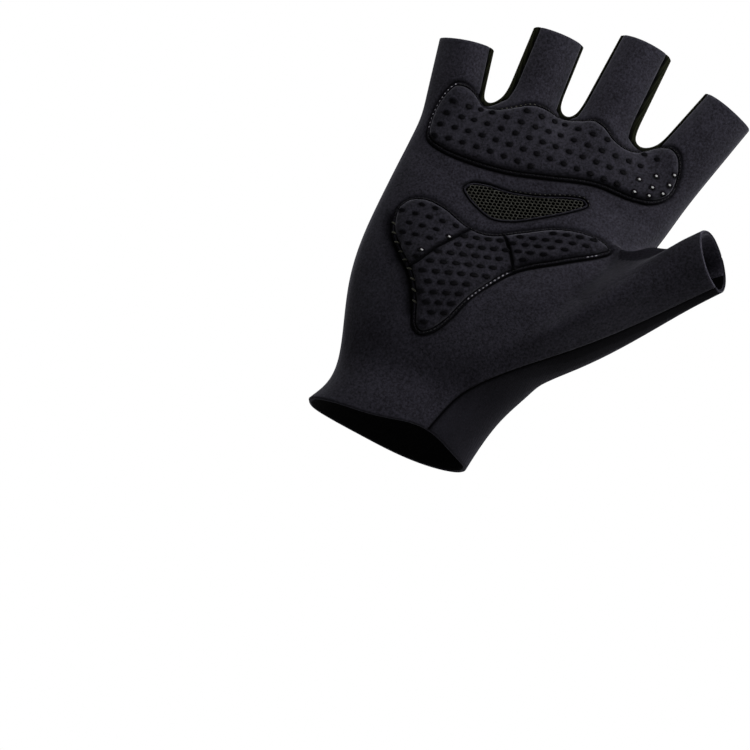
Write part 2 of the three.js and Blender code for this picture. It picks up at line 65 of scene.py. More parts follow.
# at: share of the way up; ulnar, radial: x of the two edges; palm, back: depth either side of y = 0
# thenar, hypo: extra depth of the ball of the thumb and of the heel under the little finger
# hollow: dip in the middle of the palm; lean: y of the radial edge
# palm_end, seam, back_start: angles of the last palm column, the radial seam and the first back column
BODY_COLUMNS = ("at", "ulnar", "radial", "palm", "back", "thenar", "hypo", "hollow", "lean",
                "palm_end", "seam", "back_start")
BODY_ROWS = (
    (0.000, -30.0, 28.0, 18.5, 19.0, 0.0, 0.0, 0.0, 0, 280, 293, 307),
    (0.070, -26.6, 28.6, 18.0, 18.5, 0.0, 0.0, 0.0, 0, 281, 294, 309),
    (0.150, -27.0, 30.2, 17.5, 18.0, 1.0, 1.0, 0.0, -1, 285, 298, 319),
    (0.270, -32.3, 37.5, 17.0, 17.0, 5.0, 2.0, 1.5, -3, 296, 312, 352),
    (0.385, -37.4, 44.0, 16.0, 16.5, 8.0, 2.5, 3.0, -4, 303, 330, 392),
    (0.500, -40.2, 47.0, 15.0, 16.5, 9.0, 2.5, 4.0, -4, 306, 340, 403),
    (0.620, -41.5, 49.5, 14.0, 16.0, 7.0, 2.0, 3.5, -3, 309, 350, 403),
    (0.750, -42.2, 51.0, 13.5, 15.5, 2.0, 1.5, 2.0, -2, 316, 360, 400),
    (0.830, -42.6, 52.0, 13.5, 15.0, 0.0, 0.5, 0.5, -1, 328, 360, 390),
    (0.915, -43.0, 52.8, 12.5, 13.8, 0.0, 0.0, 0.0, -1, 340, 360, 380),
)
BODY = [dict(zip(BODY_COLUMNS, row)) for row in BODY_ROWS]
# Where the bulges and the hollow lie across the hand, from 0 at its ulnar edge to 1, and how wide they are
BULGES = {"thenar": (0.84, 0.2), "hypo": (0.16, 0.18), "hollow": (0.48, 0.22)}

# Fingers: middle of the root and of the tip; width and depth of the tube at root and tip
# left, right: how far the root's ulnar and radial sides stand above the root's middle; twist in degrees
FINGER_COLUMNS = ("name", "root", "tip", "root_wide", "tip_wide", "root_deep", "tip_deep",
                  "left", "right", "twist")
FINGER_ROWS = (
    ("little", (-33.9, -1.0, 109.3), (-39.7, -5.5, 130.5), 21.0, 20.6, 21.0, 21.0, -5.0, 6.6, -4),
    ("ring", (-11.3, -1.5, 122.0), (-13.9, -7.0, 147.4), 22.6, 22.3, 22.5, 22.0, 0.5, 4.5, 8),
    ("middle", (14.9, -1.5, 127.5), (14.4, -7.0, 158.8), 25.2, 23.4, 23.0, 22.5, 0.5, 1.5, -10),
    ("index", (42.8, -2.0, 127.0), (48.4, -8.0, 151.8), 22.6, 21.2, 23.0, 22.0, 3.2, -2.0, -6),
)
FINGERS = [dict(zip(FINGER_COLUMNS, row)) for row in FINGER_ROWS]
FINGER_SHARES = (0, 0.27, 0.55, 1)
# A finger ring's points: p on the palm side, b on the back; L ulnar, C middle, R radial
FINGER_TURNS = {"pL": 210, "pC": 270, "pR": 330, "bR": 30, "bC": 90, "bL": 150}
CROTCH_DROP = 1.7
CROTCH_DEPTH = 5.5
TABBED = ("ring", "middle")
SEAM_SWELL = 2.7
LAST = len(FINGERS) - 1

# Thumb: its opening, the way it points, and how its walls leave the hand at the web and at the wrist side
THUMB_END = np.array((66.6, -30.0, 94.6))
THUMB_AXIS = (0.57, -0.56, 0.59)
THUMB_RIM = (0.66, -0.54, 0.51)
THUMB_WEB = (-0.69, -0.18, 0.70)
THUMB_WIDE = 22.4
THUMB_DEEP = 21.5
THUMB_UPPER_SEAM = -90
THUMB_LOWER_SEAM = 150
THUMB_BANDS = 5
THUMB_WEB_LEAVE = np.array((0.55, -0.80, 0.10))
THUMB_LOW_LEAVE = np.array((0.70, -0.24, 0.67))
THUMB_PULL = 0.9
THUMB_ROWS = (3, 7)

PANELS = ("palm", "back", "strip_0", "strip_1", "strip_2", "tab_ring", "tab_middle")

# Pads and vent: x and z of the points that their smooth outlines run through, seen from the palm
KNUCKLE_PAD = ((-37.6, 114.2), (-33.5, 115.8), (-29.5, 115.2), (-25.0, 113.0), (-20.6, 113.8),
               (-15.8, 117.0), (-11.6, 120.2), (-7.0, 121.8), (0.5, 122.2), (6.0, 124.0),
               (10.5, 126.2), (15.0, 125.4), (20.0, 122.9), (25.0, 122.6), (30.0, 125.3),
               (34.0, 128.8), (38.5, 130.2), (42.5, 127.8), (45.6, 121.0), (45.4, 114.0),
               (41.0, 108.8), (33.8, 106.0), (21.0, 104.2), (5.0, 98.1), (-8.0, 93.3),
               (-21.5, 90.7), (-31.0, 90.8), (-36.8, 93.0), (-39.0, 98.5), (-39.6, 107.5))
HEEL_PAD = ((-34.2, 66.0), (-31.8, 70.6), (-27.0, 73.0), (-20.0, 73.0), (-10.0, 70.9),
            (-3.0, 72.0), (6.0, 77.8), (16.0, 84.1), (26.0, 87.1), (34.0, 87.0),
            (36.4, 85.0), (33.5, 81.2), (23.0, 72.6), (12.0, 64.2), (6.0, 55.5),
            (1.8, 46.5), (-0.8, 37.5), (-3.8, 31.7), (-7.2, 29.3), (-10.3, 30.5),
            (-14.0, 37.5), (-19.0, 45.0), (-26.5, 51.6), (-32.0, 57.5))
VENT = ((-17.8, 81.8), (-16.4, 84.9), (-11.5, 87.0), (-3.4, 88.7), (6.0, 92.1), (15.5, 96.8),
        (20.3, 98.2), (22.3, 96.6), (18.5, 92.0), (10.0, 84.9), (2.0, 79.3), (-4.5, 76.9),
        (-10.5, 77.8), (-15.5, 79.8))
ULNAR_CREASE = ((-24.0, 43.5), (-20.1, 48.1), (-15.9, 57.4), (-12.9, 62.8), (-8.6, 70.6), (-6.0, 76.0))
RADIAL_CREASE = ((-2.0, 78.0), (1.4, 74.2), (7.6, 67.7), (10.6, 63.1), (13.5, 58.0))


# Small helpers

def unit(v):
    return np.asarray(v, float) / np.linalg.norm(v)


def lerp(a, b, t):
    return a + (b - a) * t


def smooth(t):
    return t * t * (3 - 2 * t)


def climb(at, start, end):
    """From 0 at the start to 1 at the end."""
    return smooth(np.clip((at - start) / (end - start), 0, 1))


def bell(at, middle, spread):
    return np.exp(-(((at - middle) / spread) ** 2))


def turned(v, axis, angle):
    c, s = cos(angle), sin(angle)
    return v * c + np.cross(axis, v) * s + axis * np.dot(axis, v) * (1 - c)


def put(name, data):
    """A new object in the scene."""
    made = bpy.data.objects.new(name, data)
    bpy.context.scene.collection.objects.link(made)
    return made


# The glove's skin: the same coarse net of faces as the solids have, refined further

def knuckle_height(across):
    ulnar, middle, radial = (KNUCKLE_Z[key] for key in ("ulnar", "middle", "radial"))
    ends = ulnar * (1 - across) * (1 - 2 * across) + radial * across * (2 * across - 1)
    return ends + 4 * middle * across * (1 - across)


def hem_height(turn):
    c, s = cos(radians(turn)), sin(radians(turn))
    side = HEM_WAVE["radial"] if c > 0 else HEM_WAVE["ulnar"]
    face = HEM_WAVE["back"] if s > 0 else HEM_WAVE["palm"]
    lift = HEM_LIFT["rise"] * bell(turn, HEM_LIFT["turn"], HEM_LIFT["spread"])
    return side * c * c + face * s * s + lift


def body_point(row, turn):
    c, s = cos(radians(turn)), sin(radians(turn))
    across = (1 + c) / 2
    thenar, hypo, hollow = (row[key] * bell(across, *BULGES[key]) for key in ("thenar", "hypo", "hollow"))
    depth = row["palm"] + (thenar + hypo - hollow) if s < 0 else row["back"]
    y = np.sign(s) * abs(s) ** SQUARENESS * depth + row["lean"] * across
    z = hem_height(turn) * (1 - row["at"]) + knuckle_height(across) * row["at"]
    return np.array((lerp(row["ulnar"], row["radial"], across), y, z))


def finger_ring(finger, share):
    root, tip = np.array(finger["root"]), np.array(finger["tip"])
    length = np.linalg.norm(tip - root)
    axis = (tip - root) / length
    side = turned(unit(np.cross((0, 1, 0), axis)), axis, radians(finger["twist"]))
    front = unit(np.cross(side, axis))
    wide = lerp(finger["root_wide"], finger["tip_wide"], share) / 2
    deep = lerp(finger["root_deep"], finger["tip_deep"], share) / 2
    ring = {}
    for key, turn in FINGER_TURNS.items():
        c, s = cos(radians(turn)), sin(radians(turn))
        along = lerp(lerp(finger["left"], finger["right"], (c + 1) / 2), length, share)
        ring[key] = root + axis * along + side * wide * c - front * deep * s
    return ring


class Cage:
    """The coarse net: its points, its four-sided faces and each face's panel."""

    def __init__(self):
        self.points, self.faces, self.panels = [], [], []
        rings = self.finger_rings()
        top = self.top_ring(rings)
        grid = self.body(top)
        self.fingers(rings, top)
        self.thumb(grid)

    def add(self, p):
        self.points.append(np.asarray(p, float))
        return len(self.points) - 1

    def quad(self, a, b, c, d, panel):
        self.faces.append((a, b, c, d))
        self.panels.append(PANELS.index(panel))

    def finger_rings(self):
        """Rings of points round each finger; the outer fingers have one more point, at their side seam."""

        def seam_between(palm, back, across):
            return (palm + back) / 2 + unit(palm - across) * SEAM_SWELL

        rings = []
        for f, finger in enumerate(FINGERS):
            bands = []
            for share in FINGER_SHARES:
                ring = finger_ring(finger, share)
                if f == 0:
                    ring["seam"] = seam_between(ring["pL"], ring["bL"], ring["pR"])
                if f == LAST:
                    ring["seam"] = seam_between(ring["pR"], ring["bR"], ring["pL"])
                bands.append({key: self.add(p) for key, p in ring.items()})
            rings.append(bands)
        return rings

    def top_ring(self, rings):
        """The hand's last ring, through the finger roots and the crotches between them."""
        top = [None] * RING
        top[0], top[RADIAL] = rings[0][0]["seam"], rings[LAST][0]["seam"]
        for f in range(LAST + 1):
            for i, key in enumerate(("pL", "pC", "pR")):
                top[PER_FINGER * f + 1 + i] = rings[f][0][key]
            for i, key in enumerate(("bL", "bC", "bR")):
                top[RING - (PER_FINGER * f + 1 + i)] = rings[f][0][key]
        for f in range(LAST):
            here, after = rings[f][0], rings[f + 1][0]
            gap = PER_FINGER * (f + 1)
            for a, b, column, y in ((here["pR"], after["pL"], gap, -CROTCH_DEPTH),
                                    (here["bR"], after["bL"], RING - gap, CROTCH_DEPTH)):
                middle = (self.points[a] + self.points[b]) / 2
                top[column] = self.add((middle[0], y, middle[2] - CROTCH_DROP))
        return top

    def body(self, top):
        """The hand from its hem to the top ring, with a hole where the thumb leaves it."""
        ulnar, radial = self.points[top[0]][0], self.points[top[RADIAL]][0]
        top_turn = []
        for k in range(RING):
            c = min(1, max(-1, 2 * (self.points[top[k]][0] - ulnar) / (radial - ulnar) - 1))
            top_turn.append(360 - degrees(acos(c)) if k <= RADIAL else 360 + degrees(acos(c)))

        first, last = THUMB_ROWS
        grid = []
        for j, row in enumerate(BODY):
            ring = []
            for k in range(RING):
                spaced = row["seam"]
                if k < RADIAL:
                    spaced = lerp(180, row["palm_end"], k / (RADIAL - 1))
                if k > RADIAL:
                    spaced = lerp(row["back_start"], 540, (k - RADIAL - 1) / (RADIAL - 1))
                turn = lerp(spaced, top_turn[k], row["at"] ** 3)
                in_hole = k == RADIAL and first < j < last
                ring.append(None if in_hole else self.add(body_point(row, turn)))
            grid.append(ring)
        grid.append(top)
        for j in range(len(grid) - 1):
            for k in range(RING):
                n = (k + 1) % RING
                if not (k in (RADIAL - 1, RADIAL) and first <= j < last):
                    panel = "palm" if k < RADIAL else "back"
                    self.quad(grid[j][k], grid[j][n], grid[j + 1][n], grid[j + 1][k], panel)
        return grid

    def fingers(self, rings, top):
        """The fingers' tubes, with stretch strips between them."""
        for f, finger in enumerate(FINGERS):
            for band in range(len(FINGER_SHARES) - 1):
                a, b = rings[f][band], rings[f][band + 1]
                tabbed = band == len(FINGER_SHARES) - 2 and finger["name"] in TABBED
                back = f"tab_{finger['name']}" if tabbed else "back"
                sides = [("pL", "pC", "palm"), ("pC", "pR", "palm"), ("bR", "bC", back), ("bC", "bL", back)]
                if f < LAST:
                    sides += [("pR", "bR", f"strip_{f}")]
                else:
                    sides += [("pR", "seam", "palm"), ("seam", "bR", "back")]
                if f > 0:
                    sides += [("bL", "pL", f"strip_{f - 1}")]
                else:
                    sides += [("bL", "seam", "back"), ("seam", "pL", "palm")]
                for start, end, panel in sides:
                    self.quad(a[start], a[end], b[end], b[start], panel)
            if f < LAST:
                gap = PER_FINGER * (f + 1)
                palm_middle, back_middle = top[gap], top[RING - gap]
                here, after = rings[f][0], rings[f + 1][0]
                self.quad(here["pR"], palm_middle, back_middle, here["bR"], f"strip_{f}")
                self.quad(palm_middle, after["pL"], after["bL"], back_middle, f"strip_{f}")

    def thumb(self, grid):
        """The thumb's tube, from the hole in the hand to its own opening."""
        first, last = THUMB_ROWS
        loop = [grid[last][RADIAL]] + [grid[j][RADIAL - 1] for j in range(last, first - 1, -1)]
        loop += [grid[first][RADIAL]] + [grid[j][RADIAL + 1] for j in range(first, last + 1)]
        half = len(loop) // 2
        axis, rim_normal = unit(THUMB_AXIS), unit(THUMB_RIM)
        web = np.array(THUMB_WEB)
        web = unit(web - rim_normal * np.dot(web, rim_normal))
        palmward = np.cross(rim_normal, web)
        palmward *= -np.sign(palmward[1])
        walls = []
        for i, start in enumerate(loop):
            if i < half:
                turn = radians(lerp(THUMB_UPPER_SEAM, THUMB_LOWER_SEAM, i / half))
            else:
                turn = radians(lerp(THUMB_LOWER_SEAM, THUMB_UPPER_SEAM + 360, (i - half) / half))
            rim = THUMB_END + web * cos(turn) * THUMB_WIDE / 2 + palmward * sin(turn) * THUMB_DEEP / 2
            origin = self.points[start]
            reach = np.linalg.norm(rim - origin)
            leave = unit(lerp(THUMB_WEB_LEAVE, THUMB_LOW_LEAVE, (1 - cos(turn)) / 2))
            wall = [start]
            for band in range(1, THUMB_BANDS + 1):
                t = band / THUMB_BANDS
                out = origin + leave * reach * t * THUMB_PULL
                home = rim - axis * reach * (1 - t) * THUMB_PULL
                wall.append(self.add(lerp(out, home, smooth(t))))
            walls.append(wall)
        for i, wall in enumerate(walls):
            after = walls[(i + 1) % len(walls)]
            panel = "palm" if i < half else "back"
            for band in range(THUMB_BANDS):
                self.quad(wall[band], after[band], after[band + 1], wall[band + 1], panel)


class Skin:
    """The smooth surface that endless refining of the cage gives, at one level of fineness."""

    def __init__(self, cage, level):
        mesh = bpy.data.meshes.new("cage")
        mesh.from_pydata([tuple(p) for p in cage.points], [], cage.faces)
        mesh.polygons.foreach_set("material_index", cage.panels)
        holder = put("cage", mesh)
        rule = holder.modifiers.new("refine", "SUBSURF")
        rule.levels = level
        rule.use_limit_surface = True
        rule.boundary_smooth = "ALL"
        evaluated = holder.evaluated_get(bpy.context.evaluated_depsgraph_get())
        made = evaluated.to_mesh()
        self.points = read(made.vertices, "co", 3)
        self.normals = read(made.vertices, "normal", 3)
        self.faces = read(made.loops, "vertex_index", 1, int).reshape(-1, 4)
        self.panel = read(made.polygons, "material_index", 1, int)
        evaluated.to_mesh_clear()
        bpy.data.objects.remove(holder)
        bpy.data.meshes.remove(mesh)
        self.border = border_edges(self.faces, self.panel)

    def borders_of(self, panel):
        """Directed edges round one panel, each with whether it is a free rim."""
        return [(a, b, other < 0) for a, b, own, other in self.border if own == panel]


def read(items, name, width, kind=float):
    values = np.empty(len(items) * width, dtype=kind)
    items.foreach_get(name, values)
    return values.reshape(-1, width) if width > 1 else values


def border_edges(faces, panel=None):
    """Edges whose two sides belong to different panels, or that have one side only."""
    panel = np.zeros(len(faces), int) if panel is None else panel
    starts, ends = faces.ravel(), np.roll(faces, -1, axis=1).ravel()
    count = int(starts.max()) + 1
    forward = dict(zip((starts * count + ends).tolist(), np.repeat(panel, faces.shape[1]).tolist()))
    found = []
    for key, own in forward.items():
        a, b = divmod(key, count)
        other = forward.get(b * count + a, -1)
        if other != own:
            found.append((a, b, own, other))
    return found


def tree_of(points):
    """A tree that finds the closest of the points."""
    tree = KDTree(len(points))
    for i, p in enumerate(points):
        tree.insert(p, i)
    tree.balance()
    return tree


# Flat curves, as seen from the palm

# Spacing of points along the pads' outlines, and along the lines of the brow and the thumb
OUTLINE_STEP = 0.5
BROW_STEP = 1.0
CURVE_PIECES = 24
# Two lines count as parallel when the determinant of their directions is below this
PARALLEL = 1e-12
# Points nearer than this count as one where triangles fill a line
CLOSE = 1e-5


def curve_through(table, closed, step):
    """Evenly spaced points along the smooth curve through a table's points."""
    p = np.array(table, float)
    n = len(p)
    dense = []
    for i in range(n if closed else n - 1):
        if closed:
            p0, p1, p2, p3 = p[i - 1], p[i], p[(i + 1) % n], p[(i + 2) % n]
        else:
            p1, p2 = p[i], p[i + 1]
            p0 = p[i - 1] if i > 0 else 2 * p1 - p2
            p3 = p[i + 2] if i + 2 < n else 2 * p2 - p1
        d0, d1, d2 = (np.linalg.norm(b - a) ** 0.5 for a, b in ((p0, p1), (p1, p2), (p2, p3)))
        t1 = ((p1 - p0) / d0 - (p2 - p0) / (d0 + d1) + (p2 - p1) / d1) * d1
        t2 = ((p2 - p1) / d1 - (p3 - p1) / (d1 + d2) + (p3 - p2) / d2) * d1
        square = 3 * (p2 - p1) - 2 * t1 - t2
        cube = 2 * (p1 - p2) + t1 + t2
        for t in np.linspace(0, 1, CURVE_PIECES, endpoint=False):
            dense.append(p1 + t1 * t + square * t * t + cube * t ** 3)
    dense.append(dense[0] if closed else p[-1])
    return even(np.array(dense), closed, step)


def lengths(line):
    """How far along a line each of its points is."""
    return np.concatenate([[0], np.cumsum(np.linalg.norm(np.diff(line, axis=0), axis=1))])


def even(line, closed, step):
    """The same line with its points a step apart; a closed line repeats its first point at its end."""
    along = lengths(line)
    count = max(int(round(along[-1] / step)), 2)
    at = np.linspace(0, along[-1], count + 1)
    made = np.stack([np.interp(at, along, line[:, i]) for i in range(line.shape[1])], axis=1)
    return made[:-1] if closed else made


def to_line(points, line, closed=True):
    """Distance from flat points to a line, and how far along the line the closest place is."""
    a = line if closed else line[:-1]
    b = np.roll(line, -1, axis=0) if closed else line[1:]
    ab = b - a
    length = np.linalg.norm(ab, axis=1)
    start = np.concatenate([[0], np.cumsum(length)])[:-1]
    best = np.full(len(points), np.inf)
    place = np.zeros(len(points))
    for i in range(len(a)):
        t = np.clip(((points - a[i]) @ ab[i]) / (length[i] ** 2), 0, 1)
        d = np.linalg.norm(points - (a[i] + t[:, None] * ab[i]), axis=1)
        closer = d < best
        best[closer] = d[closer]
        place[closer] = start[i] + t[closer] * length[i]
    return best, place


def away_from(points, line, closed=True):
    """Distance from flat points to a line."""
    return to_line(points, line, closed)[0]


def inside(points, loop):
    """Which of the flat points lie inside a closed line."""
    result = np.zeros(len(points), bool)
    for a, b in zip(loop, np.roll(loop, -1, axis=0)):
        cross = (a[1] > points[:, 1]) != (b[1] > points[:, 1])
        if a[1] != b[1]:
            at = a[0] + (points[:, 1] - a[1]) * (b[0] - a[0]) / (b[1] - a[1])
            result ^= cross & (points[:, 0] < at)
    return result


def anticlockwise(loop):
    x, z = loop[:, 0], loop[:, 1]
    area = np.sum(x * np.roll(z, -1) - np.roll(x, -1) * z)
    return loop if area > 0 else loop[::-1]


def offset_loop(loop, inward):
    """A closed anticlockwise line moved inward, or outward if the amount is negative."""
    along = np.roll(loop, -1, axis=0) - np.roll(loop, 1, axis=0)
    along /= np.linalg.norm(along, axis=1, keepdims=True)
    return loop + np.stack([-along[:, 1], along[:, 0]], axis=1) * inward


def closed_edges(start, count):
    """Pairs of neighbours round a closed line whose points are numbered from start on."""
    return [(start + i, start + (i + 1) % count) for i in range(count)]


def turns(flat, faces):
    """Above 0 for each triangle that runs anticlockwise."""
    a, b, c = (flat[[face[i] for face in faces]] for i in range(3))
    return (b - a)[:, 0] * (c - a)[:, 1] - (b - a)[:, 1] * (c - a)[:, 0]


def stretch_of(ring, start, end):
    """The part of a closed anticlockwise line from near one flat point to near another."""
    i, j = (int(np.argmin(np.linalg.norm(ring - np.array(p), axis=1))) for p in (start, end))
    return np.arange(i, j if j > i else j + len(ring)) % len(ring)


def split_loop(loop, line):
    """Cuts a closed line in two along an open line that crosses it twice; left of the line comes first."""
    cuts = []
    for j in range(len(line) - 1):
        for i in range(len(loop)):
            a, b, c, d = loop[i], loop[(i + 1) % len(loop)], line[j], line[j + 1]
            m = np.array([b - a, c - d]).T
            if abs(np.linalg.det(m)) < PARALLEL:
                continue
            s, t = np.linalg.solve(m, c - a)
            if 0 <= s < 1 and 0 <= t < 1:
                cuts.append((i, j, a + (b - a) * s))
    (i0, j0, p0), (i1, j1, p1) = cuts[0], cuts[-1]
    middle = [p0, *line[j0 + 1:j1 + 1], p1]
    n = len(loop)
    ahead = [loop[k % n] for k in range(i1 + 1, (i0 if i0 > i1 else i0 + n) + 1)]
    behind = [loop[k % n] for k in range(i0 + 1, (i1 if i1 > i0 else i1 + n) + 1)]
    parts = (np.array(middle + ahead), np.array(middle[::-1] + behind))
    return [even(np.vstack([part, part[:1]]), True, OUTLINE_STEP) for part in parts]


# Objects

# Shaded copies of each cloth: faces deeper in painted shade than these shares lose part of their sheen, and
# then all of it
SHADED_SHEEN_STEPS = ((0.25, 0.5), (0.55, 0.0))


def sheen_shaded_copy(cloth, share):
    """The same cloth with only a share of its sheen: a shaded copy for faces deep in the painted shade of a
    seam or a groove.
    """
    name = f"{cloth.name}_groove_{round(share * 100)}"
    made = bpy.data.materials.get(name)
    if made is None:
        made = cloth.copy()
        made.name = name
        made.node_tree.nodes["Principled BSDF"].inputs["Sheen Weight"].default_value *= share
    return made


def make_object(name, points, faces, materials, face_materials=None, painted_shade=None):
    """A piece from points in millimetres; painted_shade tells how dark painted shade makes seams and grooves,
    from 0 to 1.
    """
    mesh = bpy.data.meshes.new(name)
    mesh.from_pydata((np.asarray(points) * MM).tolist(), [], [tuple(int(i) for i in f) for f in faces])
    looks = np.zeros(len(faces), np.int32) if face_materials is None else np.array(face_materials, np.int32)
    materials = list(materials)
    if painted_shade is not None:
        painted_shade = np.asarray(painted_shade, np.float32)
        mesh.attributes.new("painted_shade", "FLOAT", "POINT").data.foreach_set("value", painted_shade)
        depth = np.array([painted_shade[list(f)].mean() for f in faces])
        plain = looks.copy()
        for least, share in SHADED_SHEEN_STEPS:
            for look in np.unique(plain[depth > least]):
                looks[(plain == look) & (depth > least)] = len(materials)
                materials.append(sheen_shaded_copy(materials[look], share))
    for cloth in materials:
        mesh.materials.append(cloth)
    mesh.polygons.foreach_set("material_index", looks)
    mesh.polygons.foreach_set("use_smooth", np.ones(len(mesh.polygons), dtype=bool))
    mesh.validate()
    mesh.update()
    piece = put(name, mesh)
    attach(piece, "root")
    return piece


def ring_faces(a, b, sides):
    """Four-sided faces between two rings of points that are numbered from a and from b on."""
    return [[a + k, a + (k + 1) % sides, b + (k + 1) % sides, b + k] for k in range(sides)]


def join(parts):
    """Several point and face lists as one."""
    points, faces = [], []
    for p, f in parts:
        faces += [[i + len(points) for i in face] for face in f]
        points += list(p)
    return np.array(points), faces


# Materials: procedural cloth, thread and rubber

OLIVE = (0.88, 1.0, 0.42)
COOL = (1.02, 0.965, 1.34)
# The near black that painted shade mixes into a cloth's colour
PAINTED_SHADE_COLOUR = (0.0006, 0.0006, 0.0008)
SHEEN_ROUGHNESS = 0.45
# The values of a pattern at which its dark and its light shade are full
TINT_RANGE = (0.36, 0.64)
# How long one wave of the wave texture is at scale 1
WAVE_LENGTH = 0.314


def set_inputs(node, values):
    for name, value in values.items():
        node.inputs[name].default_value = value


def add_node(tree, kind, links, values):
    """A shader node with some inputs linked from other nodes and some set."""
    made = tree.nodes.new(kind)
    set_inputs(made, values)
    for name, output in links.items():
        tree.links.new(output, made.inputs[name])
    return made


def material(name, color, roughness, sheen=0.0, sheen_tint=(1, 1, 1), specular=0.2):
    made = bpy.data.materials.new(name)
    made.use_nodes = True
    set_inputs(made.node_tree.nodes["Principled BSDF"], {
        "Base Color": (*color, 1), "Roughness": roughness, "Specular IOR Level": specular,
        "Sheen Weight": sheen, "Sheen Roughness": SHEEN_ROUGHNESS, "Sheen Tint": (*sheen_tint, 1)})
    return made


def noise(tree, size_mm, detail=2.0):
    """A noise output whose blotches are about size_mm across on the object."""
    place = tree.nodes.new("ShaderNodeTexCoord").outputs["Object"]
    scale = add_node(tree, "ShaderNodeMapping", {"Vector": place}, {"Scale": [1 / (size_mm * MM)] * 3})
    pattern = add_node(tree, "ShaderNodeTexNoise", {"Vector": scale.outputs["Vector"]},
                       {"Scale": 1.0, "Detail": detail})
    return pattern.outputs["Fac"]


def ribs(tree, pitch_mm, axis):
    """Fine even ribs across one axis of the object."""
    place = tree.nodes.new("ShaderNodeTexCoord").outputs["Object"]
    pattern = add_node(tree, "ShaderNodeTexWave", {"Vector": place},
                       {"Scale": WAVE_LENGTH / (pitch_mm * MM), "Distortion": 0.6, "Detail": 1.0})
    pattern.bands_direction = axis
    return pattern.outputs["Fac"]


def total(tree, parts):
    """The weighted sum of several patterns."""
    result = None
    for value, weight in parts:
        times = add_node(tree, "ShaderNodeMath", {}, {1: weight, 2: 0.0})
        times.operation = "MULTIPLY_ADD"
        tree.links.new(value, times.inputs[0])
        if result is not None:
            tree.links.new(result, times.inputs[2])
        result = times.outputs[0]
    return result


def tint(made, value, dark, light):
    """Colours a material between two shades by a pattern, and mixes in painted shade where seams and grooves
    are.
    """
    tree = made.node_tree
    ramp = add_node(tree, "ShaderNodeValToRGB", {"Fac": value}, {})
    for element, position, colour in zip(ramp.color_ramp.elements, TINT_RANGE, (dark, light)):
        element.position = position
        element.color = (*colour, 1)
    # The painted shade attribute mixes the colour towards near black
    painted_shade = tree.nodes.new("ShaderNodeAttribute")
    painted_shade.attribute_name = "painted_shade"
    mix = add_node(tree, "ShaderNodeMixRGB", {"Fac": painted_shade.outputs["Fac"], "Color1": ramp.outputs["Color"]},
                   {"Color2": (*PAINTED_SHADE_COLOUR, 1)})
    tree.links.new(mix.outputs["Color"], tree.nodes["Principled BSDF"].inputs["Base Color"])


def emboss(made, value, height_mm):
    tree = made.node_tree
    bump = add_node(tree, "ShaderNodeBump", {"Height": value}, {"Strength": 1.0, "Distance": height_mm * MM})
    tree.links.new(bump.outputs["Normal"], tree.nodes["Principled BSDF"].inputs["Normal"])


def shade(level, cast=COOL):
    """A dark colour of one lightness, with a cool cast unless another is given."""
    return tuple(level * c for c in cast)


def suede(name, level, grain, sheen):
    made = material(name, shade(level), 0.95, sheen, sheen_tint=(0.75, 0.75, 0.85), specular=0.12)
    tree = made.node_tree
    nap = noise(tree, 0.8, detail=5.0)
    fibre = noise(tree, 0.28)
    blotch = noise(tree, 9.0)
    tint(made, total(tree, [(nap, 0.55), (fibre, 0.35), (blotch, 0.1)]),
         shade(level * (1 - grain)), shade(level * (1 + grain)))
    emboss(made, total(tree, [(noise(tree, 0.3), 0.45), (nap, 0.55)]), 0.16)
    return made


def knit(name, level, pitch, sheen):
    made = material(name, shade(level), 0.9, sheen, sheen_tint=(0.7, 0.7, 0.8), specular=0.12)
    tree = made.node_tree
    wales = ribs(tree, pitch, "X")
    courses = ribs(tree, pitch * 0.8, "Z")
    fuzz = noise(tree, 0.5, detail=3.0)
    tint(made, total(tree, [(fuzz, 0.6), (noise(tree, 20.0), 0.4)]), shade(level * 0.55), shade(level * 1.5))
    emboss(made, total(tree, [(wales, 0.35), (courses, 0.25), (fuzz, 0.4)]), 0.1)
    return made


def stretch(name, level, pitch):
    made = material(name, shade(level, OLIVE), 0.85, 0.02, sheen_tint=(0.8, 0.82, 0.5), specular=0.08)
    tree = made.node_tree
    rows = ribs(tree, pitch, "Y")
    fuzz = noise(tree, 0.7, detail=3.0)
    tint(made, total(tree, [(rows, 0.6), (fuzz, 0.4)]), shade(level * 0.35, OLIVE), shade(level * 1.8, OLIVE))
    emboss(made, total(tree, [(rows, 0.7), (fuzz, 0.3)]), 0.2)
    return made


def thread(name, level, cast=(1.0, 0.97, 1.1)):
    made = material(name, shade(level, cast), 0.6, 0.1)
    tree = made.node_tree
    emboss(made, noise(tree, 0.12, detail=1.0), 0.03)
    tint(made, noise(tree, 0.8), shade(level * 0.75, cast), shade(level * 1.3, cast))
    return made


PALM_SUEDE = suede("palm_suede", 0.0115, 0.78, 0.16)
PAD_SUEDE = suede("pad_suede", 0.009, 0.9, 0.16)
TAB_SUEDE = suede("tab_suede", 0.0125, 0.78, 0.16)
PALM_INSIDE = suede("palm_inside", 0.009, 0.5, 0.05)
BACK_KNIT = knit("back_knit", 0.0062, 0.7, 0.08)
# The knit's inside is near black: painted shade, for the inside of the glove lies in shadow; the strips use
# it too
BACK_INSIDE = knit("back_inside", 0.0008, 0.7, 0.0)
SIDE_STRETCH = stretch("side_stretch", 0.0035, 1.1)
CUT_EDGE = suede("cut_edge", 0.01, 0.5, 0.1)
PALE_EDGE = suede("pale_edge", 0.022, 0.4, 0.1)
THUMB_INSIDE = suede("thumb_inside", 0.024, 0.6, 0.1)
VENT_NET = thread("vent_net", 0.019, (1.0, 1.0, 0.78))
BINDING_CLOTH = suede("binding_cloth", 0.0095, 0.5, 0.1)
DARK_THREAD = thread("dark_thread", 0.003)
PALE_THREAD = thread("pale_thread", 0.25)
OLIVE_THREAD = thread("olive_thread", 0.045, (1.0, 1.0, 0.75))
DOT_RUBBER = material("dot_rubber", (0.0018, 0.0017, 0.0023), 0.5, specular=0.08)
WET_RUBBER = material("wet_rubber", (0.0012, 0.0011, 0.0016), 0.15, specular=0.5)
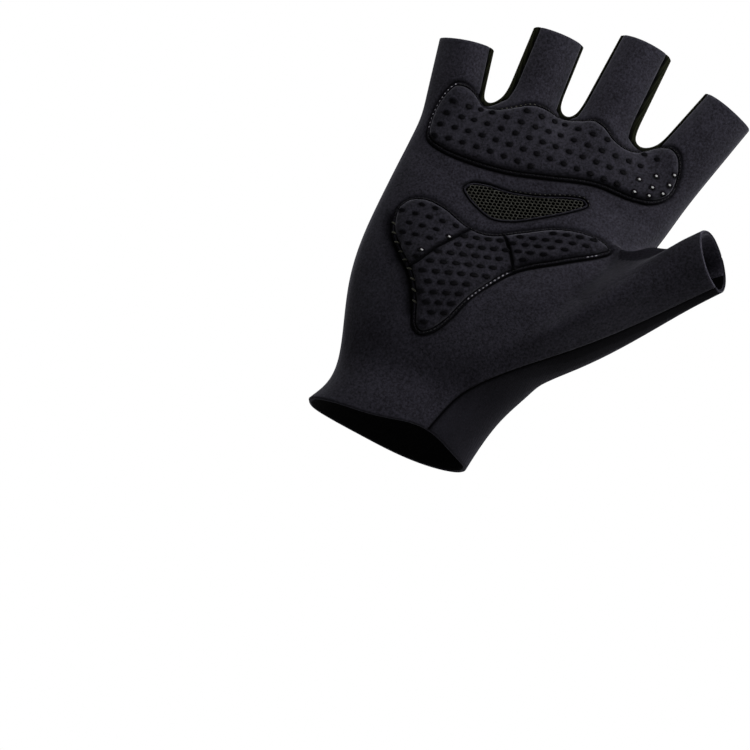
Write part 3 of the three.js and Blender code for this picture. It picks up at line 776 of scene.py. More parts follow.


# Relief: how far the cloth stands off the smooth skin, in millimetres, and the painted shade that goes with
# it

SEAM_ROLL = {"wide": 1.1, "deep": 0.7, "swell": 0.08, "crest": 1.9, "spread": 0.7}
# Painted shade along seams: how far it reaches and how dark it is
SEAM_PAINTED_SHADE = {"reach": 0.65, "depth": 0.97}
PAD_GROOVE = {"deep": 0.55, "spread": 0.7}
VENT_ROLL = {"wide": 1.0, "deep": 0.4}
# How fast folds, and the lines round pads, come in where the cloth turns to the palm's side
FOLD_TURN = 2
LINE_TURN = 4
# Painted shade on the back beside the thumb's seam: how dark and how wide it is, where in z it starts, is
# full and ends, and the x where it begins
BACK_SHADE = {"painted_shade": 0.7, "wide": 8.0, "start": 22.0, "full": 45.0, "end": 104.0, "side": 15.0}
# Painted shadow along the heel pad's ulnar side, over a real dent: the stretch's ends, the dent's depth, its
# width and how dark the painted shadow is
FLANK = {"ends": ((-33.9, 61.5), (-13.0, 34.5)), "deep": 0.7, "wide": 2.7, "painted_shade": 0.88}

# The share of its height that a fold loses at its ends
FOLD_FADE = 0.7
# Soft ridges and dents: two ends in x and z, width, and height, below 0 for a dent
PALM_FOLDS = (
    ((-26.0, 13.0), (18.0, 19.5), 9.5, -3.1),
    ((-26.0, 50.0), (6.0, 52.0), 14.0, 3.0),
    ((24.0, 100.0), (47.0, 101.0), 4.0, -0.35),
    ((-41.0, 88.0), (-24.0, 84.0), 3.2, -0.3),
    ((-30.0, 35.0), (-22.0, 62.0), 5.0, -0.6),
    ((28.0, 60.0), (52.0, 78.0), 6.0, 0.4),
)
BACK_FOLDS = (
    ((-33.9, 114.0), (-24.0, 52.0), 5.5, 1.3),
    ((-11.3, 126.0), (-8.0, 48.0), 5.0, 1.6),
    ((14.9, 131.0), (8.0, 50.0), 5.0, 1.6),
    ((42.8, 128.0), (25.0, 58.0), 5.5, 1.4),
    ((-22.0, 119.0), (-17.0, 76.0), 4.0, -1.7),
    ((1.5, 127.0), (0.5, 80.0), 4.0, -1.8),
    ((30.0, 129.0), (19.0, 78.0), 4.2, -1.8),
    ((-30.0, 17.0), (26.0, 21.0), 6.0, -1.3),
    ((46.0, 84.0), (30.0, 50.0), 6.0, 1.2),
    ((-34.0, 96.0), (-36.0, 60.0), 4.0, -0.8),
)

# The brow between the web and the thumb: its line in x and z, and far points on the web's side of it
WEB_LINE = ((33.5, 88.6), (37.5, 88.2), (40.5, 86.9), (43.7, 87.3), (47.3, 91.0), (51.0, 96.5))
WEB_FAR = ((60.0, 140.0), (20.0, 140.0), (20.0, 92.0))
WEB_STEP = {"thumb": 3.0, "thumb_fade": 6.5, "web": 0.35, "web_fade": 6.0, "sharp": 0.6,
            "start": 32.5, "end": 41.0}
# Painted shade under the brow and along the thumb's top and its ridge, where the lamps light it: where the
# line goes on to, how dark and how wide it is
THUMB_TOP = ((56.0, 102.0), (62.5, 107.5))
THUMB_RIDGE = ((34.0, 66.0), (38.9, 73.5), (43.4, 79.7), (47.4, 87.3), (52.3, 96.1))
THUMB_SHADE = {"painted_shade": 0.68, "wide": 10.0, "ridge_painted_shade": 0.42, "ridge_wide": 5.0}


def web_start(flat):
    """Rises from 0 to 1 over the first part of the brow."""
    return climb(flat[:, 0], WEB_STEP["start"], WEB_STEP["end"])


def web_relief(points):
    """The brow where the thumb's tube stands in front of the web: high on the thumb, low on the web."""
    flat = points[:, XZ]
    line = curve_through(WEB_LINE, False, BROW_STEP)
    d = away_from(flat, line, closed=False)
    on_web = inside(flat, np.vstack([line, WEB_FAR]))
    share = (1 + np.tanh(np.where(on_web, d, -d) / WEB_STEP["sharp"])) / 2
    thumb = WEB_STEP["thumb"] * np.exp(-d / WEB_STEP["thumb_fade"])
    web = -WEB_STEP["web"] * np.exp(-d / WEB_STEP["web_fade"])
    return lerp(thumb, web, share) * web_start(flat)


def thumb_shade(flat):
    """How dark the painted shade makes the thumb's side of the brow, the thumb's top and its ridge."""
    line = curve_through(WEB_LINE + THUMB_TOP, False, BROW_STEP)
    d = away_from(flat, line, closed=False)
    ridge = away_from(flat, curve_through(THUMB_RIDGE, False, BROW_STEP), closed=False)
    off_web = ~inside(flat, np.vstack([line, WEB_FAR]))
    under_brow = THUMB_SHADE["painted_shade"] * bell(d, 0, THUMB_SHADE["wide"]) * web_start(flat)
    on_ridge = THUMB_SHADE["ridge_painted_shade"] * bell(ridge, 0, THUMB_SHADE["ridge_wide"])
    return off_web * np.maximum(under_brow, on_ridge)


def fold_relief(points, folds):
    flat = points[:, XZ]
    relief = np.zeros(len(points))
    for start, end, width, height in folds:
        a, b = np.array(start), np.array(end)
        t = np.clip((flat - a) @ (b - a) / np.dot(b - a, b - a), 0, 1)
        away = np.linalg.norm(flat - (a + t[:, None] * (b - a)), axis=1)
        relief += height * bell(away, 0, width) * (1 - FOLD_FADE * np.abs(2 * t - 1) ** 3)
    return relief


def roll(distance, wide, deep):
    """The rounded shoulder of cloth that turns down into a seam."""
    share = np.clip(1 - distance / wide, 0, 1)
    return -deep * (1 - np.sqrt(np.clip(1 - share ** 2, 0, 1)))


knuckle_loop = anticlockwise(curve_through(KNUCKLE_PAD, True, OUTLINE_STEP))
heel_loop = anticlockwise(curve_through(HEEL_PAD, True, OUTLINE_STEP))
vent_loop = anticlockwise(curve_through(VENT, True, OUTLINE_STEP))

cage = Cage()
fine = Skin(cage, FINE_LEVEL)
coarse = Skin(cage, COARSE_LEVEL)


def front_share(normals, gain):
    """Rises from 0 to 1 as the cloth turns to the palm's side."""
    return np.clip(-gain * normals[:, 1], 0, 1)


def soft_relief(skin):
    """Folds of the cloth at every point of the skin, the same on both sides of a seam."""
    front, back = (front_share(side * skin.normals, FOLD_TURN) for side in (1, -1))
    on_front = fold_relief(skin.points, PALM_FOLDS) + web_relief(skin.points)
    return front * on_front + back * fold_relief(skin.points, BACK_FOLDS)


def seam_painted_shade(distance):
    """How dark painted shade makes the cloth at a distance from a seam or a sewn line."""
    return SEAM_PAINTED_SHADE["depth"] * bell(distance, 0, SEAM_PAINTED_SHADE["reach"])


fine_folds = soft_relief(fine)
coarse_folds = soft_relief(coarse)


def surface_relief(panel, used):
    """What shapes the outer face of one panel and where shade is painted on it, at the fine skin's used
    points.
    """
    points = fine.points[used]
    seams = {v for a, b, rim in fine.borders_of(PANELS.index(panel)) if not rim for v in (a, b)}
    relief = fine_folds[used]
    painted_shade = np.zeros(len(points))
    if seams:
        tree = tree_of(fine.points[sorted(seams)])
        d = np.array([tree.find(p)[2] for p in points])
        relief += roll(d, SEAM_ROLL["wide"], SEAM_ROLL["deep"])
        relief += SEAM_ROLL["swell"] * bell(d, SEAM_ROLL["crest"], SEAM_ROLL["spread"])
        painted_shade = seam_painted_shade(d)
    # Painted shade on the back beside the thumb's seam
    if panel == "back":
        z = points[:, 2]
        along = climb(z, BACK_SHADE["start"], BACK_SHADE["full"])
        along *= (z < BACK_SHADE["end"]) & (points[:, 0] > BACK_SHADE["side"])
        painted_shade = np.maximum(painted_shade, BACK_SHADE["painted_shade"] * bell(d, 0, BACK_SHADE["wide"]) * along)
    if panel == "palm":
        flat = points[:, XZ]
        front = front_share(fine.normals[used], LINE_TURN)
        for loop in (knuckle_loop, heel_loop):
            d = away_from(flat, loop)
            relief -= front * PAD_GROOVE["deep"] * bell(d, 0, PAD_GROOVE["spread"])
            painted_shade = np.maximum(painted_shade, front * seam_painted_shade(d))
        # Painted shadow beside the heel pad's ulnar side, over a real dent
        flank = heel_loop[stretch_of(heel_loop, *FLANK["ends"])]
        d = away_from(flat, flank, closed=False)
        relief -= front * FLANK["deep"] * bell(d, 0, FLANK["wide"])
        painted_shade = np.maximum(painted_shade, front * FLANK["painted_shade"] * bell(d, 0, FLANK["wide"]))
        painted_shade = np.maximum(painted_shade, thumb_shade(flat))
        d = away_from(flat, vent_loop)
        relief += front * roll(d, VENT_ROLL["wide"], VENT_ROLL["deep"])
        painted_shade = np.maximum(painted_shade, front * seam_painted_shade(d))
    return relief, painted_shade


# Cloth panels: closed walls with a fine outer face and a coarser inner one

WALL_ROWS = 3
RIM_BULGE = 0.4
SEAM_CLEARANCE = 0.03
SHARP_ANGLE = 55
# The thumb's opening: how near its middle the cut edge is pale and its wall gets painted shade, and the part
# of the inside that shows pale; below it the inside stays dark as painted shadow
THUMB_OPENING = THUMB_WIDE * 0.75
THUMB_REACH = 28.0
THUMB_LOW = np.array((0.47, 0.0, -0.88))
THUMB_LOW_START = 3.5
RIM_PAINTED_SHADE = (0.0, 0.45, 0.8)
HOLE_REACH = 1.6
HOLE_CLEAR = 0.22
# A panel's materials, in their order on the piece
OUTSIDE, EDGE, INSIDE, THUMB_EDGE, THUMB_LINING = range(5)
at_thumb = np.linalg.norm(fine.points - THUMB_END, axis=1) < THUMB_OPENING


def cut_hole(faces, flat, loop, first_new):
    """Opens a face list up to a closed line; the line's own points are numbered from first_new on."""
    gone = inside(flat[faces].mean(axis=1), offset_loop(loop, -HOLE_REACH))
    removed = faces[gone]
    rim = border_edges(removed)
    after = {a: b for a, b, _, _ in rim}
    ring = [rim[0][0]]
    while after[ring[-1]] != ring[0]:
        ring.append(after[ring[-1]])
    spare = np.setdiff1d(np.unique(removed), ring)
    spare = spare[~inside(flat[spare], loop) & (away_from(flat[spare], loop) > HOLE_CLEAR)]
    number = [*ring, *spare.tolist(), *range(first_new, first_new + len(loop))]
    places = np.vstack([flat[ring], flat[spare], loop])
    fixed = closed_edges(0, len(ring)) + closed_edges(len(number) - len(loop), len(loop))
    _, _, filled, made_of, *_ = delaunay_2d_cdt([Vector(q) for q in places], fixed, [], 0, CLOSE)
    corner = [origins[0] for origins in made_of]
    filled = np.array([[corner[i] for i in face] for face in filled])
    centres = places[filled].mean(axis=1)
    filled = filled[inside(centres, flat[ring]) & ~inside(centres, loop)]
    turned_over = turns(places, filled) < 0
    filled[turned_over] = filled[turned_over][:, ::-1]
    return faces[~gone].tolist() + np.array(number)[filled].tolist()


def own_faces(skin, own):
    """One panel's part of a skin: its points, where each point of the skin is among them, and its faces."""
    faces = skin.faces[skin.panel == own]
    used = np.unique(faces)
    place = np.full(len(skin.points), -1)
    place[used] = np.arange(len(used))
    return used, place, place[faces]


def outward(borders):
    """The direction that leaves the cloth, at each point of a panel's border."""
    away = {a: np.zeros(3) for a, _, _ in borders}
    for a, b, _ in borders:
        out = np.cross(unit(fine.points[b] - fine.points[a]), fine.normals[a])
        away[a] = away[a] + out
        away[b] = away[b] + out
    return {v: unit(out) for v, out in away.items()}


def inside_look(point):
    """The material of a panel's inside at one point: pale high in the thumb's opening, and the plain dark
    inside lower down, where it stands for shadow.
    """
    away = point - THUMB_END
    pale = np.linalg.norm(away) < THUMB_REACH and away @ THUMB_LOW < THUMB_LOW_START
    return THUMB_LINING if pale else INSIDE


def wall_painted_shade(v, free):
    """How dark painted shade makes the rows of the wall below one border point."""
    if v not in free:
        return (SEAM_PAINTED_SHADE["depth"],) * WALL_ROWS
    return RIM_PAINTED_SHADE if at_thumb[v] else (0.0,) * WALL_ROWS


def panel_piece(name, panel, outside, edge, inside_face, thumb_edge=None, thumb_inside=None, hole=None):
    """One cut of cloth: its outer face, cut edge and inside, with other cloth at the thumb's opening."""
    own = PANELS.index(panel)
    used, at_fine, outer_faces = own_faces(fine, own)
    inner, at_coarse, inner_faces = own_faces(coarse, own)
    relief, painted_shade = surface_relief(panel, used)
    outer_points = fine.points[used] + fine.normals[used] * relief[:, None]
    inner_points = coarse.points[inner] + coarse.normals[inner] * (coarse_folds[inner] - WALL)[:, None]
    if hole is not None:
        base, normals = on_palm(hole)
        outer_faces = cut_hole(outer_faces, outer_points[:, XZ], hole, len(outer_points))
        inner_faces = cut_hole(inner_faces, inner_points[:, XZ], hole, len(inner_points))
        outer_points = np.vstack([outer_points, base - normals * VENT_ROLL["deep"]])
        inner_points = np.vstack([inner_points, base - normals * WALL])
        # Painted seam shade along the hole's edge
        painted_shade = np.concatenate([painted_shade, np.full(len(hole), SEAM_PAINTED_SHADE["depth"])])
    inner_start = len(outer_points)
    wall_start = inner_start + len(inner_points)
    faces = [list(face) for face in outer_faces]
    looks = [OUTSIDE] * len(faces)
    for face in inner_faces:
        faces.append([i + inner_start for i in reversed(face)])
        looks.append(inside_look(inner_points[face[0]]))

    # The wall between them along the border
    borders = fine.borders_of(own)
    after = {a: b for a, b, _ in borders}
    free = {v for a, b, rim in borders if rim for v in (a, b)}
    away = outward(borders)
    ring = sorted(after)
    row_start = {v: wall_start + i * WALL_ROWS for i, v in enumerate(ring)}
    shares = np.arange(1, WALL_ROWS + 1)[:, None] / (WALL_ROWS + 1)
    points = [outer_points, inner_points]
    for v in ring:
        bottom = fine.points[v] + fine.normals[v] * (fine_folds[v] - WALL)
        push = RIM_BULGE if v in free else -SEAM_CLEARANCE
        points.append(lerp(outer_points[at_fine[v]], bottom, shares) + away[v] * push * np.sin(pi * shares))
    for a, b, rim in borders:
        look = OUTSIDE if not rim else THUMB_EDGE if at_thumb[a] else EDGE
        above = (at_fine[a], at_fine[b])
        for row in range(WALL_ROWS):
            below = (row_start[a] + row, row_start[b] + row)
            faces.append([above[1], above[0], below[0], below[1]])
            looks.append(look)
            above = below

    # Its foot on the inner face, which has one edge for every two of the outer face
    tree = tree_of(fine.points[ring])
    for a, b, rim in coarse.borders_of(own):
        start = ring[tree.find(coarse.points[a])[1]]
        chain = (after[after[start]], after[start], start)
        feet = [row_start[v] + WALL_ROWS - 1 for v in chain]
        faces.append(feet + [inner_start + at_coarse[a], inner_start + at_coarse[b]])
        looks.append(EDGE if rim else OUTSIDE)
    if hole is not None:
        faces += ring_faces(inner_start - len(hole), wall_start - len(hole), len(hole))
        looks += [EDGE] * len(hole)
    painted_shade = np.concatenate([painted_shade, np.zeros(len(inner_points)), *(wall_painted_shade(v, free) for v in ring)])
    materials = (outside, edge, inside_face, thumb_edge or edge, thumb_inside or inside_face)
    piece = make_object(name, np.vstack(points), faces, materials, looks, painted_shade=painted_shade)
    if hole is not None:
        piece.data.set_sharp_from_angle(angle=radians(SHARP_ANGLE))
    return piece, outer_points, [list(face) for face in outer_faces]


# The palm as the pads find it: smooth skin with its folds, and its cloth with grooves as well

RAY_START = -100.0
# Faces count as the palm's front below this y of their normal; a ray that misses looks round from this y
FRONT_NORMAL = -0.05
PALM_DEPTH = -16.0
palm_only = fine.faces[fine.panel == PANELS.index("palm")]
folded = fine.points + fine.normals * fine_folds[:, None]
front_faces = palm_only[fine.normals[palm_only].mean(axis=1)[:, 1] < FRONT_NORMAL]
smooth_tree = BVHTree.FromPolygons(folded.tolist(), front_faces.tolist())


def on_palm(flat, tree=smooth_tree):
    """Places and smooth normals on the palm straight behind flat points, as seen from the palm."""
    places, normals = [], []
    for x, z in flat:
        hit, normal, *_ = tree.ray_cast(Vector((x, RAY_START, z)), Vector((0, 1, 0)))
        if hit is None:
            hit, normal, *_ = tree.find_nearest(Vector((x, PALM_DEPTH, z)))
        places.append(hit)
        normals.append(normal)
    return np.array(places), np.array(normals)


palm_piece, palm_points, palm_faces = panel_piece(
    "palm_panel_cloth", "palm", PALM_SUEDE, CUT_EDGE, PALM_INSIDE, PALE_EDGE, THUMB_INSIDE, hole=vent_loop)
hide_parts("palm_panel")
back_piece, _, _ = panel_piece("back_panel_cloth", "back", BACK_KNIT, CUT_EDGE, BACK_INSIDE,
                               thumb_inside=THUMB_INSIDE)
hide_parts("back_panel")
STRIP_NODES = ("fourchette_little_ring", "fourchette_ring_middle", "fourchette_middle_index")
for i, node in enumerate(STRIP_NODES):
    piece, _, _ = panel_piece(f"{node}_cloth", f"strip_{i}", SIDE_STRETCH, SIDE_STRETCH, BACK_INSIDE)
    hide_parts(node)
for tab in TABBED:
    piece, _, _ = panel_piece(f"pull_tab_{tab}_cloth", f"tab_{tab}", TAB_SUEDE, CUT_EDGE, PALM_INSIDE)
    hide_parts(f"pull_tab_{tab}")


cloth_tree = BVHTree.FromPolygons(palm_points.tolist(), palm_faces)
NEIGHBOURS = 12


def smoothed(normals, flat):
    """Normals averaged over their neighbourhood, so that a pad's top stays even."""
    places = [(x, z, 0) for x, z in flat]
    tree = tree_of(places)
    made = np.array([normals[[hit[1] for hit in tree.find_n(p, NEIGHBOURS)]].mean(axis=0) for p in places])
    return made / np.linalg.norm(made, axis=1, keepdims=True)


# Pads: a flat stitched flange round a puffy middle

FLANGE = {"edge": 0.08, "top": 0.42, "round": 0.3, "row": 0.62, "groove": 1.15, "deep": 0.3, "wide": 0.22}
PUFF = {"start": 1.2, "rise": 2.2, "height": 1.75}
PUCKER = {"pitch": 3.3, "height": 0.08, "at": 2.0, "wide": 0.8}
CREASE = {"start": 0.2, "rise": 1.1, "floor": 0.1}
PAD_SPACING = 0.6
FLANGE_ROWS = (0.12, 0.3, 0.55, 0.8, 1.0, 1.15, 1.3, 1.45, 1.7, 2.0)
# Shares: how near its depth a flange row's point must be, how far apart the rows of the middle are,
# and how far they stay off the last flange row
ROW_NEAR = 0.93
MIDDLE_STEP = 0.87
MIDDLE_CLEAR = 0.4
UNDERSIDE = 0.03
# How dark the painted shade along each line on a pad is, and how wide
LINE_PAINTED_SHADE = {"edge": (0.95, 0.45), "groove": (0.8, 0.28), "crease": (0.95, 0.95)}
# The stretch of the knuckle pad's outline, towards the fingers, whose flange is painted nearly black as shade
HEAD = {"ends": ((45.4, 119.0), (-29.5, 115.2)), "at": 0.6, "wide": 0.6, "painted_shade": 0.8}


def pad_height(flat, loop, creases):
    """Height of a pad's top above the palm; loop is the whole pad's outline."""
    d, place = to_line(flat, loop)
    share = np.clip((d - PUFF["start"]) / PUFF["rise"], 0, 1)
    for crease in creases:
        dc = away_from(flat, crease, closed=False)
        share = np.minimum(share, np.clip((dc - CREASE["start"]) / CREASE["rise"], CREASE["floor"], 1))
    edge = np.clip(d / FLANGE["round"], 0, 1)
    height = lerp(FLANGE["edge"], FLANGE["top"], np.sqrt(1 - (1 - edge) ** 2))
    height += PUFF["height"] * np.sqrt(1 - (1 - share) ** 2)
    height -= FLANGE["deep"] * bell(d, FLANGE["groove"], FLANGE["wide"])
    wave = PUCKER["height"] * np.sin(2 * pi * place / PUCKER["pitch"])
    height += wave * bell(d, PUCKER["at"], PUCKER["wide"])
    return height


def dark_line(line, distance, at=0):
    """How dark the painted shade of one of a pad's lines is at a distance from it."""
    painted_shade, wide = LINE_PAINTED_SHADE[line]
    return painted_shade * bell(distance, at, wide)


def pad_painted_shade(flat, loop, creases):
    """How far painted shade darkens a pad's outline, its inner groove and its creases."""
    d = away_from(flat, loop)
    painted_shade = np.maximum(dark_line("edge", d), dark_line("groove", d, FLANGE["groove"]))
    for crease in creases:
        dc = away_from(flat, crease, closed=False)
        painted_shade = np.maximum(painted_shade, dark_line("crease", dc))
    if loop is knuckle_loop:
        head = loop[stretch_of(loop, *HEAD["ends"])]
        d = away_from(flat, head, closed=False)
        painted_shade = np.maximum(painted_shade, HEAD["painted_shade"] * bell(d, HEAD["at"], HEAD["wide"]))
    return painted_shade


def fill_flat(loop, spacing):
    """Flat points and triangles that fill a closed line, with finer rows along it."""
    rows = [loop]
    for depth in FLANGE_ROWS:
        row = offset_loop(loop, depth)
        d = away_from(row, loop)
        rows.append(row[inside(row, loop) & (d > depth * ROW_NEAR)])
    low, high = loop.min(axis=0), loop.max(axis=0)
    xs = np.arange(low[0], high[0], spacing)
    zs = np.arange(low[1], high[1], spacing * MIDDLE_STEP)
    grid = np.array([(x + spacing / 2 * (j % 2), z) for j, z in enumerate(zs) for x in xs])
    grid = grid[inside(grid, loop)]
    d = away_from(grid, loop)
    rows.append(grid[d > FLANGE_ROWS[-1] + spacing * MIDDLE_CLEAR])
    flat = [Vector(p) for p in np.vstack(rows)]
    made, _, faces, *_ = delaunay_2d_cdt(flat, closed_edges(0, len(loop)), [], 1, CLOSE)
    return np.array([tuple(p) for p in made]), faces


def pad_piece(name, node, loop, whole, creases, dots):
    flat, faces = fill_flat(loop, PAD_SPACING)
    base, normals = on_palm(flat)
    normals = smoothed(normals, flat)
    under, _ = on_palm(flat, cloth_tree)
    top = base + normals * pad_height(flat, whole, creases)[:, None]
    bottom = under + normals * UNDERSIDE
    n = len(flat)
    faces = [list(f) if turn > 0 else list(reversed(f)) for f, turn in zip(faces, turns(flat, faces))]
    all_faces = faces + [[i + n for i in reversed(f)] for f in faces]
    all_faces += [[b, a, a + n, b + n] for a, b, _, _ in border_edges(np.array(faces))]
    painted_shade = np.maximum(pad_painted_shade(flat, whole, creases), dot_painted_shade(flat, dots))
    # The pad's underside gets full painted shade
    piece = make_object(name, np.vstack([top, bottom]), all_faces, (PAD_SUEDE,),
                        painted_shade=np.concatenate([painted_shade, np.ones(n)]))
    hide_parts(node)


# Vent: a hole in the palm, a bound edge inside it and an open net across it

NET = {"depth": 0.42, "columns": 1.33, "rows": 1.15, "strand": 0.34, "margin": 0.45}
# away: distance inward from the hole's edge; level: height over the palm's smooth skin
BINDING = ((0.02, -1.25), (0.02, -0.8), (0.3, -0.8), (0.34, -0.32), (0.44, -0.16), (0.66, -0.14),
           (0.82, -0.3), (0.86, -0.9), (0.84, -1.25))
# Binding rows sunk below this level are painted black as shade
BINDING_DARK = -0.5


def binding_piece():
    """A narrow folded tape round the inside of the hole."""
    points, faces = [], []
    for away, level in BINDING:
        ring = offset_loop(vent_loop, away)
        base, normals = on_palm(ring)
        points.append(base + normals * level)
    n, rows = len(vent_loop), len(BINDING)
    for r in range(rows):
        faces += ring_faces(r * n, (r + 1) % rows * n, n)
    # Painted shade on the binding's sunk rows
    painted_shade = np.repeat([1.0 if level < BINDING_DARK else 0.0 for _, level in BINDING], n)
    piece = make_object("vent_binding", np.vstack(points), faces, (BINDING_CLOTH,), painted_shade=painted_shade)


def net_piece():
    """Six-sided cells whose edges become strands: zigzag ones up the hand, joined by short ones across."""
    side, half = NET["columns"] / 1.5, NET["rows"] / 2
    low, high = vent_loop.min(axis=0), vent_loop.max(axis=0)
    corners, faces = {}, []
    for i, x in enumerate(np.arange(low[0], high[0], NET["columns"])):
        for z in np.arange(low[1], high[1], NET["rows"]) + half * (i % 2):
            cell = [(x + side, z), (x + side / 2, z + half), (x - side / 2, z + half),
                    (x - side, z), (x - side / 2, z - half), (x + side / 2, z - half)]
            d = away_from(np.array(cell), vent_loop)
            if inside(np.array(cell), vent_loop).all() and d.min() > NET["margin"]:
                keys = [(round(a, 3), round(b, 3)) for a, b in cell]
                faces.append([corners.setdefault(key, len(corners)) for key in keys])
    flat = np.array(list(corners))
    base, normals = on_palm(flat)
    normals = smoothed(normals, flat)
    piece = make_object("mesh_vent_net", base - normals * NET["depth"], faces, (VENT_NET,))
    strands = piece.modifiers.new("strands", "WIREFRAME")
    strands.thickness = NET["strand"] * MM
    strands.use_even_offset = True
    strands.use_boundary = True
    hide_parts("mesh_vent")


binding_piece()
net_piece()


# Grip dots: raised rubber domes on a slanted grid over each pad

# long, wide: half sizes; high: to the crown
# start, along, across: one dot's x and z, and the steps to its neighbours
DOT_GRIDS = {
    "knuckle": {"start": (-30.1, 109.0), "along": (4.75, 0.68), "across": (0.15, -4.65),
                "long": 1.12, "wide": 0.9, "high": 0.36},
    "ulnar": {"start": (-31.0, 68.6), "along": (4.4, 0.75), "across": (-0.4, -3.9),
              "long": 1.15, "wide": 0.72, "high": 0.32},
    "centre": {"start": (-9.7, 65.75), "along": (3.85, 1.7), "across": (-0.64, -3.99),
               "long": 1.35, "wide": 0.76, "high": 0.32},
    "radial": {"start": (8.6, 78.5), "along": (4.11, 1.24), "across": (-1.18, -3.28),
               "long": 1.35, "wide": 0.7, "high": 0.32},
}
# Wet-looking dots: their places in x and z, the way their tops face, and how near another dot may stand
GLINTS = {
    "knuckle": {"at": ((37.9, 117.5), (33.1, 113.2), (38.2, 113.2), (33.5, 108.5), (38.4, 110.1),
                       (42.2, 113.5), (42.9, 117.4), (43.0, 121.3)),
                "facing": (0.23, -0.974, 0.0), "clear": 3.6},
    "ulnar": {"at": ((-14.0, 62.8), (-19.3, 54.0)), "facing": (0.3, -0.951, 0.07), "clear": 2.4},
}
# The share of a dot's height that its low crown takes
LENS_SHARE = 0.1
DOME_ROWS = (0.3, 0.6, 0.8, 0.92, 0.98, 1.0)
DOME_SIDES = 18
DOT_SINK = 0.3
DOT_MARGIN = {"knuckle": 2.5, "heel": 2.3, "crease": 1.2}
# Painted shade round each dot: how dark, and how far out it reaches in dot sizes
DOT_PAINTED_SHADE = 0.65
DOT_RING = 1.4
# How many steps a grid of dots runs each way from its start
DOT_REACH = 30


def dome(base, normal, along, size):
    """Points and faces of one low lens with rounded shoulders that stands on a small skirt."""
    along = unit(along - normal * np.dot(along, normal))
    across = np.cross(normal, along)
    points = [base + normal * size["high"]]
    for out in (*DOME_ROWS, 1.0):
        crown = LENS_SHARE * (1 - out ** 2) + (1 - LENS_SHARE) * sqrt(1 - out ** 6)
        up = -DOT_SINK if len(points) > len(DOME_ROWS) * DOME_SIDES else size["high"] * crown
        for k in range(DOME_SIDES):
            turn = 2 * pi * k / DOME_SIDES
            points.append(base + normal * up + along * size["long"] * out * cos(turn)
                          + across * size["wide"] * out * sin(turn))
    faces = [[0, 1 + k, 1 + (k + 1) % DOME_SIDES] for k in range(DOME_SIDES)]
    last = 1 + len(DOME_ROWS) * DOME_SIDES
    for start in range(1, last, DOME_SIDES):
        faces += [[a, d, c, b] for a, b, c, d in ring_faces(start, start + DOME_SIDES, DOME_SIDES)]
    faces.append([last + k for k in reversed(range(DOME_SIDES))])
    return points, faces


def dot_painted_shade(flat, dots):
    """The thin ring of painted shade where each dot meets its pad."""
    centres, grid = dots
    along = unit(grid["along"])
    across = np.array((-along[1], along[0]))
    painted_shade = np.zeros(len(flat))
    for centre in centres:
        away = flat - centre
        out = np.hypot(away @ along / grid["long"], away @ across / grid["wide"])
        painted_shade = np.maximum(painted_shade, DOT_PAINTED_SHADE * np.clip((DOT_RING - out) / (DOT_RING - 1), 0, 1))
    return painted_shade


def grid_in(loop, grid, outline, margin, creases):
    """Points of a slanted grid inside a closed line, clear of the pad's outline and of its creases."""
    start, along, across = (np.array(grid[key]) for key in ("start", "along", "across"))
    reach = range(-DOT_REACH, DOT_REACH + 1)
    flat = np.array([start + along * i + across * j for j in reach for i in reach])
    flat = flat[inside(flat, loop)]
    flat = flat[away_from(flat, outline) > margin]
    for crease in creases:
        flat = flat[away_from(flat, crease, closed=False) > DOT_MARGIN["crease"]]
    return flat


def dots_piece(name, dots, loop, creases, glints):
    flat, grid = dots
    base, normals = on_palm(flat)
    heights = pad_height(flat, loop, creases)
    direction = np.array((grid["along"][0], 0.0, grid["along"][1]))
    parts, looks = [], []
    for i, (p, n, h) in enumerate(zip(base, normals, heights)):
        wet = glints is not None and i >= len(flat) - len(glints["at"])
        parts.append(dome(p + n * h, unit(glints["facing"]) if wet else n, direction, grid))
        looks += [int(wet)] * len(parts[-1][1])
    piece = make_object(name, *join(parts), (DOT_RUBBER, WET_RUBBER), looks)


ulnar_crease = curve_through(ULNAR_CREASE, False, OUTLINE_STEP)
radial_crease = curve_through(RADIAL_CREASE, False, OUTLINE_STEP)
ulnar_loop, rest_loop = split_loop(heel_loop, ulnar_crease)
radial_loop, centre_loop = split_loop(rest_loop, radial_crease)
PADS = (
    ("knuckle_pad", "knuckle", knuckle_loop, knuckle_loop, []),
    ("heel_pad_ulnar", "ulnar", ulnar_loop, heel_loop, [ulnar_crease]),
    ("heel_pad_centre", "centre", centre_loop, heel_loop, [ulnar_crease, radial_crease]),
    ("heel_pad_radial", "radial", radial_loop, heel_loop, [radial_crease]),
)
for node, key, loop, outline, creases in PADS:
    margin = DOT_MARGIN["knuckle" if key == "knuckle" else "heel"]
    places = grid_in(loop, DOT_GRIDS[key], outline, margin, creases)
    glints = GLINTS.get(key)
    if glints is not None:
        wet = np.array(glints["at"])
        apart = np.linalg.norm(places[:, None] - wet[None], axis=2).min(axis=1)
        places = np.vstack([places[apart > glints["clear"]], wet])
    dots = (places, DOT_GRIDS[key])
    pad_piece(f"{node}_cloth", node, loop, outline, creases, dots)
    dots_piece(f"{node}_dots", dots, outline, creases, glints)


# Stitches: short bent threads along a line on the cloth

STITCH = {"pitch": 1.3, "long": 0.95, "radius": 0.16, "rise": 0.14, "slant": 0}
BEAD = {"pitch": 1.6, "long": 0.6, "radius": 0.17, "rise": 0.12, "slant": 0}
BOLD = {"pitch": 1.5, "long": 0.75, "radius": 0.25, "rise": 0.16, "slant": 0}
SLANTED = {"pitch": 3.6, "long": 2.0, "radius": 0.3, "rise": 0.18, "slant": 50}
STITCH_RINGS = 5
STITCH_SIDES = 6
